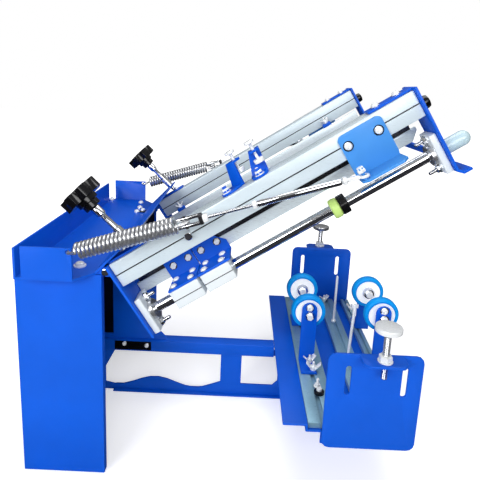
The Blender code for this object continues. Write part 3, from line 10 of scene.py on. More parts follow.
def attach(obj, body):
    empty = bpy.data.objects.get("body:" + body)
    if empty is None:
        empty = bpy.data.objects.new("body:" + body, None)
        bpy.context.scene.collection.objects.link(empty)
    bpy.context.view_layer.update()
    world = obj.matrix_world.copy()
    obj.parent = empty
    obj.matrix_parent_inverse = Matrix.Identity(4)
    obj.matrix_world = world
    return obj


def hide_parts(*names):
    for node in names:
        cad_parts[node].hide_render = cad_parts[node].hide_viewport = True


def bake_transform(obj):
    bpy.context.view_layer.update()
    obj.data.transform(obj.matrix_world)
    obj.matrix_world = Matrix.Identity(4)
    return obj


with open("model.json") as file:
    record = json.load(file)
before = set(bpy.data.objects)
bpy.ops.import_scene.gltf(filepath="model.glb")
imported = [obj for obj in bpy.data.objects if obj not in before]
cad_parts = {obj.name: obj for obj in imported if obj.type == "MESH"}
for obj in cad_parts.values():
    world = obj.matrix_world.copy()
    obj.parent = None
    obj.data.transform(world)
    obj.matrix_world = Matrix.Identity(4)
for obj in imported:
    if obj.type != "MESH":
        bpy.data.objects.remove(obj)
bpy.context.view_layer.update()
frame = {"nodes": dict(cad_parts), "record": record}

bl_info = {
    "name": "Bottle screen printing machine",
    "version": (1, 0, 0),
    "blender": (4, 5, 0),
    "location": "3D View > Sidebar > Screen printer",
    "description": "Dresses the machine's frame with its finished pieces and paints",
    "category": "Object",
}

SIDES = {"near": -1, "far": 1}
QUARTER = math.pi / 2
UP = Matrix.Identity(4)
TO_NEAR, TO_FAR = Matrix.Rotation(QUARTER, 4, "X"), Matrix.Rotation(-QUARTER, 4, "X")
TO_RIGHT, TO_LEFT = Matrix.Rotation(QUARTER, 4, "Y"), Matrix.Rotation(-QUARTER, 4, "Y")
OUTWARD = {-1: TO_NEAR, 1: TO_FAR}

# The arm's own frame: along it from the hinge, across the machine, and square to both
HINGE = Vector((-0.1518, 0.0, 0.2651))
TILT = math.radians(33)
ARM = Matrix.Translation(HINGE) @ Matrix.Rotation(-TILT, 4, "Y")
PROFILE_TOP, PROFILE_SIZE, PROFILE_V = 0.005, 0.030, 0.150
PROFILE_START, PROFILE_END = 0.0083, 0.3907
STRAP_TOP, ROD_W = 0.0078, -0.070
TAIL_FACE, HEAD_FACE = 0.394, 0.008
BRACKET_FACE, BAR_TOP = 0.1678, -0.0262
BUMPER_START = 0.2565

# The base's heights, and the lean of the tray's lip
DECK, RAIL_TOP, BRACKET_FOOT = 0.2645, 0.090, 0.0933
LIP_ANGLE = math.radians(46.5)

# Rollers: where their four axles stand
ROLLERS_X = {"left": 0.104, "right": 0.210}
ROLLERS_Y = {"near": -0.029, "far": 0.048}
AXLE_Z = 0.163

# Springs: the coil runs from its start to its end, and the tie rod's pin lies three loops further
SPRING_V, SPRING_HOOK, SPRING_SLOPE = 0.190, (-0.182, 0.296), math.radians(17.784)
COIL_START, COIL_TURNS, COIL_PITCH, COIL_RADIUS = 0.0095, 24, 0.0046, 0.0080
COIL_LOOP, TIE_END = 0.0034, 0.32105
COIL_LENGTH = COIL_TURNS * COIL_PITCH
PIN_ALONG = COIL_START + COIL_LENGTH + 3 * COIL_LOOP

# Play of a rod in its bore, rounding of drawn stock, and the angles that shading treats as smooth
PLAY, STOCK_EDGE = 0.0003, 0.0012
SMOOTH, ROUND_SMOOTH = math.radians(32), math.radians(60)


def props_of(context):
    return context.scene.screen_printer


def length_of(name, about, default):
    return bpy.props.FloatProperty(name=name, description=about, default=default, unit="LENGTH")


def colour_of(name, about, default):
    return bpy.props.FloatVectorProperty(name=name, description=about, default=default, subtype="COLOR")


class ScreenPrinterProps(bpy.types.PropertyGroup):
    """Sizes and colours that a user would change"""

    edge: length_of("Sheet edge", "Rounding on the folded sheets' edges", 0.0005)
    bolt: length_of("Bolt head", "Radius of a pan bolt's head", 0.0042)
    rod: length_of("Guide rod", "Radius of the guide rods", 0.006)
    tyre: length_of("Tyre", "Outer radius of the roller tyres", 0.025)
    knob: length_of("Knob", "Outer radius of the lobed knobs", 0.0238)
    wire: length_of("Spring wire", "Radius of the springs' wire", 0.0019)
    blue: colour_of("Blue", "Powder coat of the sheet metal", (0.001, 0.100, 0.66))
    light_blue: colour_of("Light blue", "Powder coat of the spring brackets", (0.055, 0.275, 0.72))
    azure: colour_of("Azure", "Rubber of the tyres", (0.0, 0.32, 0.88))
    bumper: colour_of("Bumper", "Rubber of the stop rings", (0.52, 0.74, 0.20))
    grip: colour_of("Grip", "Plastic of the pull handle", (0.50, 0.66, 0.72))


# Finishes


def dial(node, values):
    """Sets a node's inputs by name."""
    for socket, value in values.items():
        node.inputs[socket].default_value = value


def wiring(tree):
    """A tree's nodes, a function that adds a shader node and one that links two nodes' sockets."""

    def add(kind):
        return tree.nodes.new(f"ShaderNode{kind}")

    def link(start, output, end, socket):
        tree.links.new(start.outputs[output], end.inputs[socket])

    return tree.nodes, add, link


def grain_group(name, stretch, detail):
    """Fine noise on object coordinates, stretched by the given scales, as a mask and a normal."""
    group = bpy.data.node_groups.new(name, "ShaderNodeTree")
    for label, value in (("Scale", 400.0), ("Depth", 0.05)):
        socket = group.interface.new_socket(label, in_out="INPUT", socket_type="NodeSocketFloat")
        socket.default_value = value
    group.interface.new_socket("Mask", in_out="OUTPUT", socket_type="NodeSocketFloat")
    group.interface.new_socket("Normal", in_out="OUTPUT", socket_type="NodeSocketVector")
    nodes, add, link = wiring(group)
    source, sink = nodes.new("NodeGroupInput"), nodes.new("NodeGroupOutput")
    place, mapping, noise, bump = add("TexCoord"), add("Mapping"), add("TexNoise"), add("Bump")
    dial(mapping, {"Scale": stretch})
    dial(noise, {"Detail": detail})
    dial(bump, {"Distance": 0.0002})
    link(place, "Object", mapping, "Vector")
    link(mapping, "Vector", noise, "Vector")
    link(source, "Scale", noise, "Scale")
    link(noise, "Fac", sink, "Mask")
    link(noise, "Fac", bump, "Height")
    link(source, "Depth", bump, "Strength")
    link(bump, "Normal", sink, "Normal")


def make_effects():
    grain_group("powder_coat", (1, 1, 1), 2.0)
    grain_group("drawn_metal", (1, 12, 12), 4.0)
    grain_group("handling_marks", (1, 1, 1), 6.0)


def finish(name, colour, shade, metallic, roughness, wander, effect, scale, depth, coat=0.0, shine=0.5):
    """A Principled finish whose colour and roughness wander between two values with its effect."""
    plain_one = bpy.data.materials.get(name)
    if plain_one:
        plain_one.name = f"{name}_plain"
    made = bpy.data.materials.new(name)
    made.use_nodes = True
    nodes, add, link = wiring(made.node_tree)
    shader = nodes["Principled BSDF"]
    dial(shader, {"Metallic": metallic, "Specular IOR Level": shine, "Coat Weight": coat})
    dial(shader, {"Coat Roughness": 0.08})
    grain = add("Group")
    grain.node_tree = bpy.data.node_groups[effect]
    dial(grain, {"Scale": scale, "Depth": depth})
    marks = add("Group")
    marks.node_tree = bpy.data.node_groups["handling_marks"]
    dial(marks, {"Scale": 18.0})
    ramp = add("ValToRGB")
    low, high = ramp.color_ramp.elements
    low.position, high.position = 0.25, 0.75
    low.color, high.color = (*shade, 1), (*colour, 1)
    link(marks, "Mask", ramp, "Fac")
    link(ramp, "Color", shader, "Base Color")
    spread = add("MapRange")
    dial(spread, {"From Min": 0.3, "From Max": 0.7, "To Min": roughness, "To Max": roughness + wander})
    link(grain, "Mask", spread, "Value")
    link(spread, "Result", shader, "Roughness")
    link(grain, "Normal", shader, "Normal")
    return made


def darker(colour, share):
    return tuple(channel * share for channel in colour)


def make_finishes(props):
    powder, drawn = "powder_coat", "drawn_metal"
    blue, light, azure = tuple(props.blue), tuple(props.light_blue), tuple(props.azure)
    bumper, grip = tuple(props.bumper), tuple(props.grip)
    black, deep_black = (0.004, 0.004, 0.005), (0.002, 0.002, 0.003)
    finish("blue_paint", blue, darker(blue, 0.86), 0.0, 0.30, 0.10, powder, 900, 0.10, shine=0.22)
    finish("light_blue_paint", light, darker(light, 0.90), 0.0, 0.30, 0.10, powder, 900, 0.10, shine=0.3)
    finish("aluminium", (0.66, 0.75, 0.80), (0.56, 0.66, 0.72), 0.15, 0.26, 0.12, drawn, 160, 0.05)
    finish("cast_aluminium", (0.76, 0.81, 0.84), (0.68, 0.74, 0.78), 0.10, 0.30, 0.12, drawn, 160, 0.04)
    finish("bar_aluminium", (0.78, 0.85, 0.88), (0.66, 0.76, 0.81), 0.15, 0.24, 0.12, drawn, 160, 0.05)
    # The rails' grey aluminium carries a blue cast that is painted reflection of the blue paint around
    # them.
    finish("grey_aluminium", (0.30, 0.50, 0.62), (0.18, 0.34, 0.45), 0.45, 0.26, 0.14, drawn, 160, 0.06)
    finish("chrome", (0.90, 0.91, 0.92), (0.82, 0.83, 0.85), 1.0, 0.06, 0.05, drawn, 300, 0.02)
    finish("spring_steel", (0.74, 0.75, 0.77), (0.58, 0.59, 0.61), 0.9, 0.24, 0.10, drawn, 300, 0.03)
    finish("zinc", (0.94, 0.96, 0.97), (0.80, 0.83, 0.85), 0.20, 0.18, 0.14, drawn, 260, 0.04)
    finish("black_plastic", black, deep_black, 0.0, 0.12, 0.10, powder, 700, 0.05, coat=0.3, shine=0.3)
    finish("azure_rubber", azure, darker(azure, 0.80), 0.0, 0.30, 0.12, powder, 500, 0.05, shine=0.18)
    finish("yellow_rubber", bumper, darker(bumper, 0.85), 0.0, 0.36, 0.12, powder, 500, 0.06)
    finish("pale_grip", grip, darker(grip, 0.93), 0.0, 0.22, 0.10, powder, 400, 0.04, coat=0.4)
    hub = finish("wheel_hub", (0.97, 0.98, 0.98), (0.92, 0.94, 0.95), 0.0, 0.32, 0.12, powder, 60, 0.05)
    # The hub's white emission is painted light that lifts its shaded faces.
    hub_painted_glow = {"Emission Color": (0.94, 0.98, 1.0, 1), "Emission Strength": 0.20}
    dial(hub.node_tree.nodes["Principled BSDF"], hub_painted_glow)
    # Dark steel for the clevis yoke; the same finish is painted shade in screw slots, profile slots, block
    # grooves and on the near bar web.
    finish("dark_steel", (0.10, 0.10, 0.11), (0.05, 0.05, 0.055), 0.9, 0.22, 0.12, drawn, 260, 0.05)
    # A near-black blue for the column's inner faces, painted shade inside the column.
    primer, deep_painted_inner_shade = (0.004, 0.007, 0.030), (0.002, 0.004, 0.020)
    finish("primer", primer, deep_painted_inner_shade, 0.0, 0.45, 0.15, powder, 900, 0.10, shine=0.2)


# Shaping helpers, each one what a hand would do with the same operators


def deselect():
    bpy.ops.object.select_all(action="DESELECT")


def select_only(*pieces):
    if bpy.context.mode != "OBJECT":
        bpy.ops.object.mode_set(mode="OBJECT")
    deselect()
    for piece in pieces:
        piece.select_set(True)
    bpy.context.view_layer.objects.active = pieces[0]


def edit(piece):
    select_only(piece)
    bpy.ops.object.mode_set(mode="EDIT")
    bpy.ops.mesh.select_all(action="SELECT")


def bake_place(piece):
    """Back to object mode, with the piece's place written into its mesh."""
    select_only(piece)
    bpy.ops.object.transform_apply(location=True, rotation=True, scale=True)


def done(piece, finish_name=None, smooth=SMOOTH):
    """Bakes a piece's place, shades it smooth below an angle and puts its finish on."""
    bake_place(piece)
    if smooth:
        bpy.ops.object.shade_smooth_by_angle(angle=smooth)
    if finish_name:
        piece.data.materials.clear()
        piece.data.materials.append(bpy.data.materials[finish_name])
    return piece


def modify(piece, kind, **settings):
    select_only(piece)
    made = piece.modifiers.new(kind.lower(), kind)
    for key, value in settings.items():
        setattr(made, key, value)
    bpy.ops.object.modifier_apply(modifier=made.name)


def soften(piece, width, segments=2, angle=math.radians(40)):
    modify(piece, "BEVEL", width=width, segments=segments, limit_method="ANGLE", angle_limit=angle)


def cut(piece, *cutters):
    for cutter in cutters:
        modify(piece, "BOOLEAN", operation="DIFFERENCE", solver="EXACT", object=cutter)
        bpy.data.objects.remove(cutter)


def block(name, low, high, finish_name, edge=0.0, segments=2):
    """A box between two corners, given in any order, with its edges rounded if edge isn't nought."""
    low, high = Vector(map(min, low, high)), Vector(map(max, low, high))
    deselect()
    bpy.ops.mesh.primitive_cube_add(size=1, location=(low + high) / 2, scale=high - low)
    piece = bpy.context.object
    piece.name = name
    done(piece, finish_name, smooth=None)
    if edge:
        soften(piece, edge, segments)
    return done(piece, finish_name)


def turned(name, rings, finish_name, sides=32, smooth=SMOOTH):
    """Stepped up +Z from circle to circle through (radius, height) rings. A last ring equal to the
    first closes a bore, and otherwise both ends are filled."""
    deselect()
    radius, height = rings[0]
    bpy.ops.mesh.primitive_circle_add(vertices=sides, radius=radius, location=(0, 0, height))
    piece = bpy.context.object
    piece.name = name
    edit(piece)
    for wide, high in rings[1:]:
        bpy.ops.mesh.extrude_region_move(TRANSFORM_OT_translate={"value": (0, 0, high - height)})
        share = wide / radius
        bpy.ops.transform.resize(value=(share, share, 1), center_override=(0, 0, high))
        radius, height = wide, high
    bpy.ops.mesh.select_all(action="SELECT")
    if rings[0] == rings[-1]:
        bpy.ops.mesh.remove_doubles(threshold=1e-6)
    else:
        bpy.ops.mesh.fill_holes(sides=0)
    bpy.ops.mesh.normals_make_consistent(inside=False)
    return done(piece, finish_name, smooth)


def thread(radius, start, end, pitch, depth=0.12):
    """Rings of a screw thread between two heights."""
    rings = []
    turns = max(2, int((end - start) / pitch))
    step = (end - start) / turns
    for number in range(turns):
        foot = start + number * step
        rings += [(radius * (1 - depth), foot), (radius, foot + step * 0.35), (radius, foot + step * 0.65)]
    rings.append((radius * (1 - depth), end))
    return rings


def mirrored(half, middle=(), bored=True):
    """Rings from the foot up and the same ones mirrored at height nought, with the first one again
    where a bore is to be closed."""
    above = [(wide, -high) for wide, high in reversed(half)]
    return [*half, *middle, *above, *half[: int(bored)]]


def paint_shade_inside(piece, finish_name, deep):
    """A second finish as painted shade on the faces whose middle the given test calls deep."""
    piece.data.materials.append(bpy.data.materials[finish_name])
    for face in piece.data.polygons:
        if deep(face.center):
            face.material_index = 1


def gather(name, pieces):
    """Joins pieces into one object, which keeps each one's finish."""
    select_only(*pieces)
    if len(pieces) > 1:
        bpy.ops.object.join()
    joined = bpy.context.object
    joined.name = name
    return joined


def settle(piece, place):
    """Moves a piece to its place and writes that into its mesh."""
    piece.matrix_world = place @ piece.matrix_world
    bake_place(piece)
    return piece


def spread(name, master, places, keep=False):
    """Copies of a master at each place, joined into one object."""
    made = []
    for place in places:
        select_only(master)
        bpy.ops.object.duplicate()
        made.append(settle(bpy.context.object, place))
    if not keep:
        bpy.data.objects.remove(master)
    return gather(name, made)


def belongs(piece, body, slot, *nodes):
    """Rides a piece on its body and hides the solids it stands for; the finish slot it is given is not
    used.
    """
    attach(piece, body)
    if nodes:
        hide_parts(*nodes)


def sheet_copy(node, finish_name, edge):
    """A node's own shape with its doubles merged and its edges rounded."""
    piece = bpy.data.objects.new(f"{node}_sheet", frame["nodes"][node].data.copy())
    bpy.context.scene.collection.objects.link(piece)
    edit(piece)
    bpy.ops.mesh.remove_doubles(threshold=2e-6)
    bpy.ops.mesh.dissolve_limited(angle_limit=math.radians(0.5))
    soften(piece, edge, 2, math.radians(44))
    return done(piece, finish_name)


def at(x, y, z, turn=UP, roll=0.0):
    return Matrix.Translation((x, y, z)) @ turn @ Matrix.Rotation(roll, 4, "Z")


def on_arm(u, v, w, turn=UP, roll=0.0):
    return ARM @ at(u, v, w, turn, roll)


# Fasteners


def washer_of(wide, narrow, thick, finish_name="chrome", sides=28):
    return turned("washer", [(wide, 0), (wide, thick), (narrow, thick)], finish_name, sides)


def pan_bolt(radius):
    """Domed head on a washer with a round socket, its seat at the origin."""
    washer = washer_of(radius * 1.35, radius * 0.9, radius * 0.22)
    rings = [
        (radius, radius * 0.2), (radius, radius * 0.55), (radius * 0.86, radius * 0.82),
        (radius * 0.60, radius * 0.98), (radius * 0.42, radius), (radius * 0.42, radius * 0.55),
    ]
    head = turned("head", rings, "zinc", 28)
    return gather("pan_bolt", [head, washer])


def slotted_screw(radius):
    """Low domed head with a slot whose floor is painted dark as shade, on a washer."""
    rings = [
        (radius, 0), (radius, radius * 0.30), (radius * 0.84, radius * 0.55), (radius * 0.5, radius * 0.68)
    ]
    head = turned("slotted_screw", rings, "zinc", 24)
    floor = radius * 0.3
    low, high = (-2 * radius, -radius * 0.16, floor), (2 * radius, radius * 0.16, radius)
    cut(head, block("slot", low, high, "zinc"))

    def on_floor(spot):
        return abs(spot.y) < radius * 0.17 and abs(spot.z - floor) < radius * 0.02

    # The slot's floor takes the dark finish as painted shade.
    paint_shade_inside(head, "dark_steel", on_floor)
    washer = washer_of(radius * 1.3, radius, radius * 0.16, sides=24)
    return gather("slotted_screw", [done(head), washer])


def hex_head(radius, height, finish_name="zinc"):
    rings = [(radius * 0.93, 0), (radius, height * 0.12), (radius, height * 0.85)]
    return turned("hex", [*rings, (radius * 0.86, height)], finish_name, 6, math.radians(20))


def hex_bolt(radius):
    washer = washer_of(radius * 1.35, radius, radius * 0.2)
    head = settle(hex_head(radius, radius * 0.8), at(0, 0, radius * 0.2))
    return gather("hex_bolt", [head, washer])


def stud_nut(radius, rise, finish_name="zinc"):
    """Nut with its washer on a stud that stands proud of it."""
    nut = settle(hex_head(radius, radius * 0.9, finish_name), at(0, 0, radius * 0.2))
    washer = washer_of(radius * 1.25, radius, radius * 0.22, finish_name)
    shank = radius * 0.5
    rings = thread(shank, 0, rise - shank * 0.4, shank * 0.5) + [(shank * 0.6, rise)]
    stud = turned("stud", rings, finish_name, 20)
    return gather("stud_nut", [nut, washer, stud])


def wing_nut(radius, rise=2.7):
    """Coned hub on a stud, with two wings that rise outwards."""
    rings = [
        (radius, 0), (radius, radius * 0.5), (radius * 0.72, radius * 1.5), (radius * 0.62, radius * 1.6)
    ]
    hub = turned("hub", rings, "zinc", 24)
    wings = []
    for side in (-1, 1):
        low, high = (-radius * 0.26, -radius * 0.95, 0), (radius * 0.26, radius * 1.05, radius * 2.5)
        wing = block("wing", low, high, "zinc", radius * 0.24, 3)
        tilt = Matrix.Rotation(side * math.radians(42), 4, "Y")
        wings.append(settle(wing, at(side * radius * 0.6, 0, radius * 0.5) @ tilt))
    rings = thread(radius * 0.42, 0, radius * (rise - 0.1), radius * 0.3)
    stud = turned("stud", [*rings, (radius * 0.3, radius * rise)], "zinc", 20)
    return gather("wing_nut", [hub, stud, *wings])


# Operators, in the order that main calls them


class PrinterStep:
    bl_options = {"REGISTER", "UNDO"}


class PRINTER_OT_finishes(PrinterStep, bpy.types.Operator):
    """Makes every finish and puts one on each solid of the frame"""

    bl_idname = "screen_printer.finishes"
    bl_label = "Finishes"

    def execute(self, context):
        props = props_of(context)
        make_effects()
        make_finishes(props)
        for part in frame["record"]["subparts"]:
            node = frame["nodes"][part["node"]]
            node.data.materials.clear()
            node.data.materials.append(bpy.data.materials[part["material_slot"]])
        return {"FINISHED"}


class PRINTER_OT_stage(PrinterStep, bpy.types.Operator):
    """Sets the pale floor, the soft lights and the photograph's camera"""

    bl_idname = "screen_printer.stage"
    bl_label = "Stage"

    def execute(self, context):
        self.floor()
        self.lights()
        self.camera()
        return {"FINISHED"}

    def floor(self):
        deselect()
        bpy.ops.mesh.primitive_plane_add(size=14, location=(0, 0, 0))
        floor = bpy.context.object
        floor.name = "studio_floor"
        paint = bpy.data.materials.new("studio_floor")
        paint.use_nodes = True
        nodes, add, link = wiring(paint.node_tree)
        shader = nodes["Principled BSDF"]
        dial(shader, {"Roughness": 0.9, "Specular IOR Level": 0.0, "Emission Color": (1, 1, 1, 1)})
        # Mirrors see a dark floor, and away from the machine the floor turns as white as the room.
        ray = add("LightPath")
        tone = add("Mix")
        tone.data_type = "RGBA"
        dial(tone, {"A": (0.90, 0.90, 0.91, 1), "B": (0.03, 0.03, 0.035, 1)})
        place = add("TexCoord")
        reach = add("VectorMath")
        reach.operation = "LENGTH"
        fade = add("MapRange")
        fade.interpolation_type = "SMOOTHSTEP"
        dial(fade, {"From Min": 0.20, "From Max": 1.10, "To Min": 0.42})
        glow = add("Math")
        glow.operation = "MULTIPLY"
        link(ray, "Is Glossy Ray", tone, "Factor")
        link(tone, "Result", shader, "Base Color")
        link(place, "Object", reach, 0)
        link(reach, "Value", fade, "Value")
        link(fade, "Result", glow, 0)
        link(ray, "Is Camera Ray", glow, 1)
        link(glow, "Value", shader, "Emission Strength")
        floor.data.materials.append(paint)

    def lights(self):
        world = bpy.data.worlds.new("studio")
        bpy.context.scene.world = world
        world.use_nodes = True
        nodes, add, link = wiring(world.node_tree)
        backdrop = nodes["Background"]
        dial(backdrop, {"Color": (1, 1, 1, 1), "Strength": 1.0})
        room = add("Background")
        dial(room, {"Strength": 0.33})
        place = add("TexCoord")
        split = add("SeparateXYZ")
        ramp = add("ValToRGB")
        low, high = ramp.color_ramp.elements
        low.position, high.position = 0.0, 0.60
        low.color, high.color = (0.02, 0.022, 0.03, 1), (1, 1, 1, 1)
        ray = add("LightPath")
        mix = add("MixShader")
        link(place, "Generated", split, "Vector")
        link(split, "Z", ramp, "Fac")
        link(ramp, "Color", room, "Color")
        link(ray, "Is Camera Ray", mix, "Fac")
        link(room, "Background", mix, 1)
        link(backdrop, "Background", mix, 2)
        link(mix, "Shader", nodes["World Output"], "Surface")
        for name, place, size, watts in (
            ("key", (-0.9, -1.4, 0.8), (0.9, 0.7), 17),
            ("fill", (0.45, -1.7, 0.95), (1.0, 0.8), 13),
            ("top", (0.1, 0.2, 1.7), (1.4, 1.0), 13),
        ):
            bpy.ops.object.light_add(type="AREA", location=place)
            light = bpy.context.object
            light.name = f"{name}_light"
            light.data.shape = "RECTANGLE"
            light.data.size, light.data.size_y = size
            light.data.energy = watts
            aim = Vector((0, 0, 0.25)) - Vector(place)
            light.rotation_euler = aim.to_track_quat("-Z", "Y").to_euler()

    def camera(self):
        pitch, yaw, roll = map(math.radians, (11.25, -0.35, 2.48))
        level = math.cos(pitch)
        ahead = Vector((math.sin(yaw) * level, math.cos(yaw) * level, -math.sin(pitch)))
        right = Vector((math.cos(yaw), -math.sin(yaw), 0))
        above = right.cross(ahead)
        axis_x = right * math.cos(roll) + above * math.sin(roll)
        axis_y = above * math.cos(roll) - right * math.sin(roll)
        turn = Matrix((axis_x, axis_y, -ahead)).transposed()
        data = bpy.data.cameras.new("camera")
        data.sensor_width = 36.0
        data.lens = 34.725
        data.shift_y = -58 / 480
        data.clip_start = 0.01
        camera = bpy.data.objects.new("camera", data)
        bpy.context.scene.collection.objects.link(camera)
        camera.matrix_world = Matrix.Translation((0, -0.658, 0.475)) @ turn.to_4x4()
        bpy.context.scene.camera = camera
        bpy.context.scene.view_settings.view_transform = "Standard"
        bpy.context.scene.view_settings.look = "None"


class PRINTER_OT_base_sheets(PrinterStep, bpy.types.Operator):
    """Rounds the edges of the column, spine, tray, platform, rails and end plates"""

    bl_idname = "screen_printer.base_sheets"
    bl_label = "Base sheets"

    def execute(self, context):
        props = props_of(context)
        for node in ("spine_plate", "hinge_tray", "platform_plate", "end_plate_near", "end_plate_far"):
            belongs(sheet_copy(node, "blue_paint", props.edge), "base", "blue_paint", node)
        low, high = (-0.2557, -0.1645, 0.2622), (-0.2440, 0.1645, 0.2634)
        belongs(block("column_top_strip", low, high, "blue_paint", 0.0004), "base", "blue_paint")
        column = sheet_copy("column", "blue_paint", props.edge)
        # The column's inward faces inside it take the near-black finish as painted shade.
        column.data.materials.append(bpy.data.materials["primer"])
        for face in column.data.polygons:
            inward = face.normal.dot(Vector((-0.206, 0, face.center.z)) - face.center) > 0
            inside = abs(face.center.y) < 0.1626 and -0.2537 < face.center.x < -0.1583
            face.material_index = int(inward and inside)
        belongs(column, "base", "blue_paint", "column")
        for node in ("rail_left", "rail_centre", "rail_right"):
            belongs(sheet_copy(node, "grey_aluminium", props.edge / 2), "base", "grey_aluminium", node)
        shaft = turned("hinge_pin", collared_shaft(0.003, 0.1633, 0.004, 0.002), "chrome", 32)
        settle(shaft, at(*HINGE, TO_FAR))
        belongs(shaft, "base", "chrome", "hinge_shaft")
        return {"FINISHED"}


def collared_shaft(radius, half, collar, width):
    """Rings of a plain shaft with a collar at each end, about its middle."""
    cap = [(collar * 0.8, -half - width), (collar, -half - width * 0.8), (collar, -half)]
    return mirrored([*cap, (radius, -half)], bored=False)


class PRINTER_OT_base_fasteners(PrinterStep, bpy.types.Operator):
    """Adds the bolts of the tray, its lip, the beam and the rails"""

    bl_idname = "screen_printer.base_fasteners"
    bl_label = "Base fasteners"

    def execute(self, context):
        props = props_of(context)
        deck = [(-0.241, 0.175), (-0.1842, 0.1623), (-0.178, 0.1268), (-0.177, 0.0998)]
        seats = [at(x, y, DECK) for x, y in deck]
        belongs(spread("tray_bolts", pan_bolt(props.bolt), seats), "base", "chrome")
        rings = [(0.0072, 0), (0.0072, 0.0016), (0.0052, 0.0019), (0.0050, 0.0040), (0.0036, 0.0050)]
        flat = turned("flat_bolt", rings, "zinc", 32)
        belongs(settle(flat, at(-0.1864, -0.1472, DECK)), "base", "chrome")
        rings = [(0.0068, 0), (0.0068, 0.0020), (0.0060, 0.0026)]
        black = turned("dark_washer", rings, "black_plastic", 32)
        dark = gather("dark_seated_bolt", [black, settle(pan_bolt(0.0034), at(0, 0, 0.0024))])
        belongs(settle(dark, at(-0.168, 0.104, DECK)), "base", "chrome")
        # A black strip on the beam's face below its fold, under the two bolts, is painted shade.
        low, high = (-0.1860, -0.0082, 0.0745), (-0.1300, -0.0094, 0.0885)
        strip = block("beam_shade_strip", low, high, "black_plastic", 0.0004)
        beam = [at(-0.1712, -0.0094, 0.0848, TO_NEAR), at(-0.1367, -0.0094, 0.0832, TO_NEAR)]
        bolts = spread("beam_bolts", pan_bolt(0.0032), beam)
        belongs(gather("beam_bolts", [bolts, strip]), "base", "chrome")
        rails = [at(0.1636, 0.1625, RAIL_TOP, UP, 0.5), at(0.2085, 0.1305, RAIL_TOP, UP, -0.3)]
        belongs(spread("rail_wing_nuts", wing_nut(0.0040), rails), "base", "chrome")
        rings = [(0.0068, 0), (0.0068, 0.0030), (0.0058, 0.0040)]
        seat = turned("dark_seat", rings, "black_plastic", 32)
        crown = turned("crown", [(0.0036, 0), (0.0036, 0.0030), (0.0026, 0.0038)], "zinc", 28)
        settle(crown, at(0, 0, 0.0036))
        bolt = gather("rail_bolt", [seat, crown])
        belongs(settle(bolt, at(0.112, -0.1150, RAIL_TOP)), "base", "chrome")
        belongs(settle(stud_nut(0.0040, 0.012), at(0.112, -0.1012, RAIL_TOP)), "base", "chrome")
        return {"FINISHED"}


class PRINTER_OT_stop_screws(PrinterStep, bpy.types.Operator):
    """Turns the two stop screws with their lobed knobs"""

    bl_idname = "screen_printer.stop_screws"
    bl_label = "Stop screws"

    def execute(self, context):
        props = props_of(context)
        for side, sign in SIDES.items():
            nose = Vector((-0.121545, sign * 0.152, 0.294823))
            place = Matrix.Translation(nose) @ Matrix.Rotation(-LIP_ANGLE, 4, "Y")
            rings = [(0.0015, 0), (0.0030, 0.002)] + thread(0.00325, 0.002, 0.0100, 0.001)
            rings += [
                (0.0055, 0.0104), (0.0055, 0.0275), (0.0046, 0.0286), (0.0041, 0.0290),
                (0.0036, 0.0480), (0.0046, 0.0500), (0.0056, 0.0510), (0.0056, 0.0615), (0.0050, 0.0630),
            ]
            screw = turned("screw", rings, "chrome", 32)
            knob = self.knob(props.knob)
            piece = settle(gather(f"stop_knob_{side}", [knob, screw]), place)
            belongs(piece, f"stop_screw_{side}", "black_plastic", f"star_knob_{side}")
        return {"FINISHED"}

    def knob(self, radius):
        """A disc whose rim is hollowed between its lobes, on a stepped hub."""
        lobes, gap_radius, gap_out = 7, 0.010, radius + 0.0066
        disc = turned("knob", [(radius, 0.0755), (radius, 0.0893)], "black_plastic", 84)
        gaps = []
        for number in range(lobes):
            angle = 2 * math.pi * (number + 0.5) / lobes
            middle = (gap_out * math.cos(angle), gap_out * math.sin(angle), 0.082)
            deselect()
            bpy.ops.mesh.primitive_cylinder_add(
                vertices=40, radius=gap_radius, depth=0.04, location=middle
            )
            gaps.append(bpy.context.object)
        cut(disc, *gaps)
        soften(disc, 0.0022, 4, math.radians(50))
        done(disc, "black_plastic", math.radians(50))
        rings = [
            (0.0095, 0.0625), (0.0100, 0.0630), (0.0100, 0.0690),
            (0.0125, 0.0700), (0.0130, 0.0750), (0.0130, 0.0760),
        ]
        hub = turned("hub", rings, "black_plastic", 40)
        rings = [(0.0090, 0.0880), (0.0090, 0.0898), (0.0080, 0.0904), (0.004, 0.0906)]
        cap = turned("cap", rings, "black_plastic", 40)
        return gather("knob", [disc, hub, cap])


class PRINTER_OT_height_screws(PrinterStep, bpy.types.Operator):
    """Turns the height screws with their disc heads, nuts and washers"""

    bl_idname = "screen_printer.height_screws"
    bl_label = "Height screws"

    def execute(self, context):
        # The far head takes the darker spring steel as painted shade; the near head is zinc.
        screws = (("near", 0.167, 0.186, "zinc"), ("far", 0.1525, 0.189, "spring_steel"))
        for side, x, tab, head_finish_far_shaded in screws:
            rings = [(0.003, tab - 0.021)] + thread(0.004, tab - 0.0205, 0.2185, 0.00125)
            shank = turned("shank", rings + [(0.0050, 0.2187), (0.0050, 0.2195)], "chrome", 40)
            rings = [
                (0.0060, 0.2190), (0.0128, 0.2218), (0.0146, 0.2228), (0.0150, 0.2238),
                (0.0150, 0.2275), (0.0146, 0.2283), (0.0138, 0.2285),
            ]
            head = turned("head", rings, head_finish_far_shaded, 48)
            seat = tab + 0.0015
            rings = [(0.0085, tab + PLAY), (0.0085, seat), (0.0050, seat)]
            washer = turned("washer", rings, "zinc", 32)
            nut = settle(hex_head(0.0076, 0.0066), at(0, 0, seat))
            piece = gather(f"height_screw_set_{side}", [shank, head, washer, nut])
            settle(piece, at(x, SIDES[side] * SPRING_V, 0))
            belongs(piece, f"height_screw_{side}", "chrome", f"height_screw_{side}")
        return {"FINISHED"}


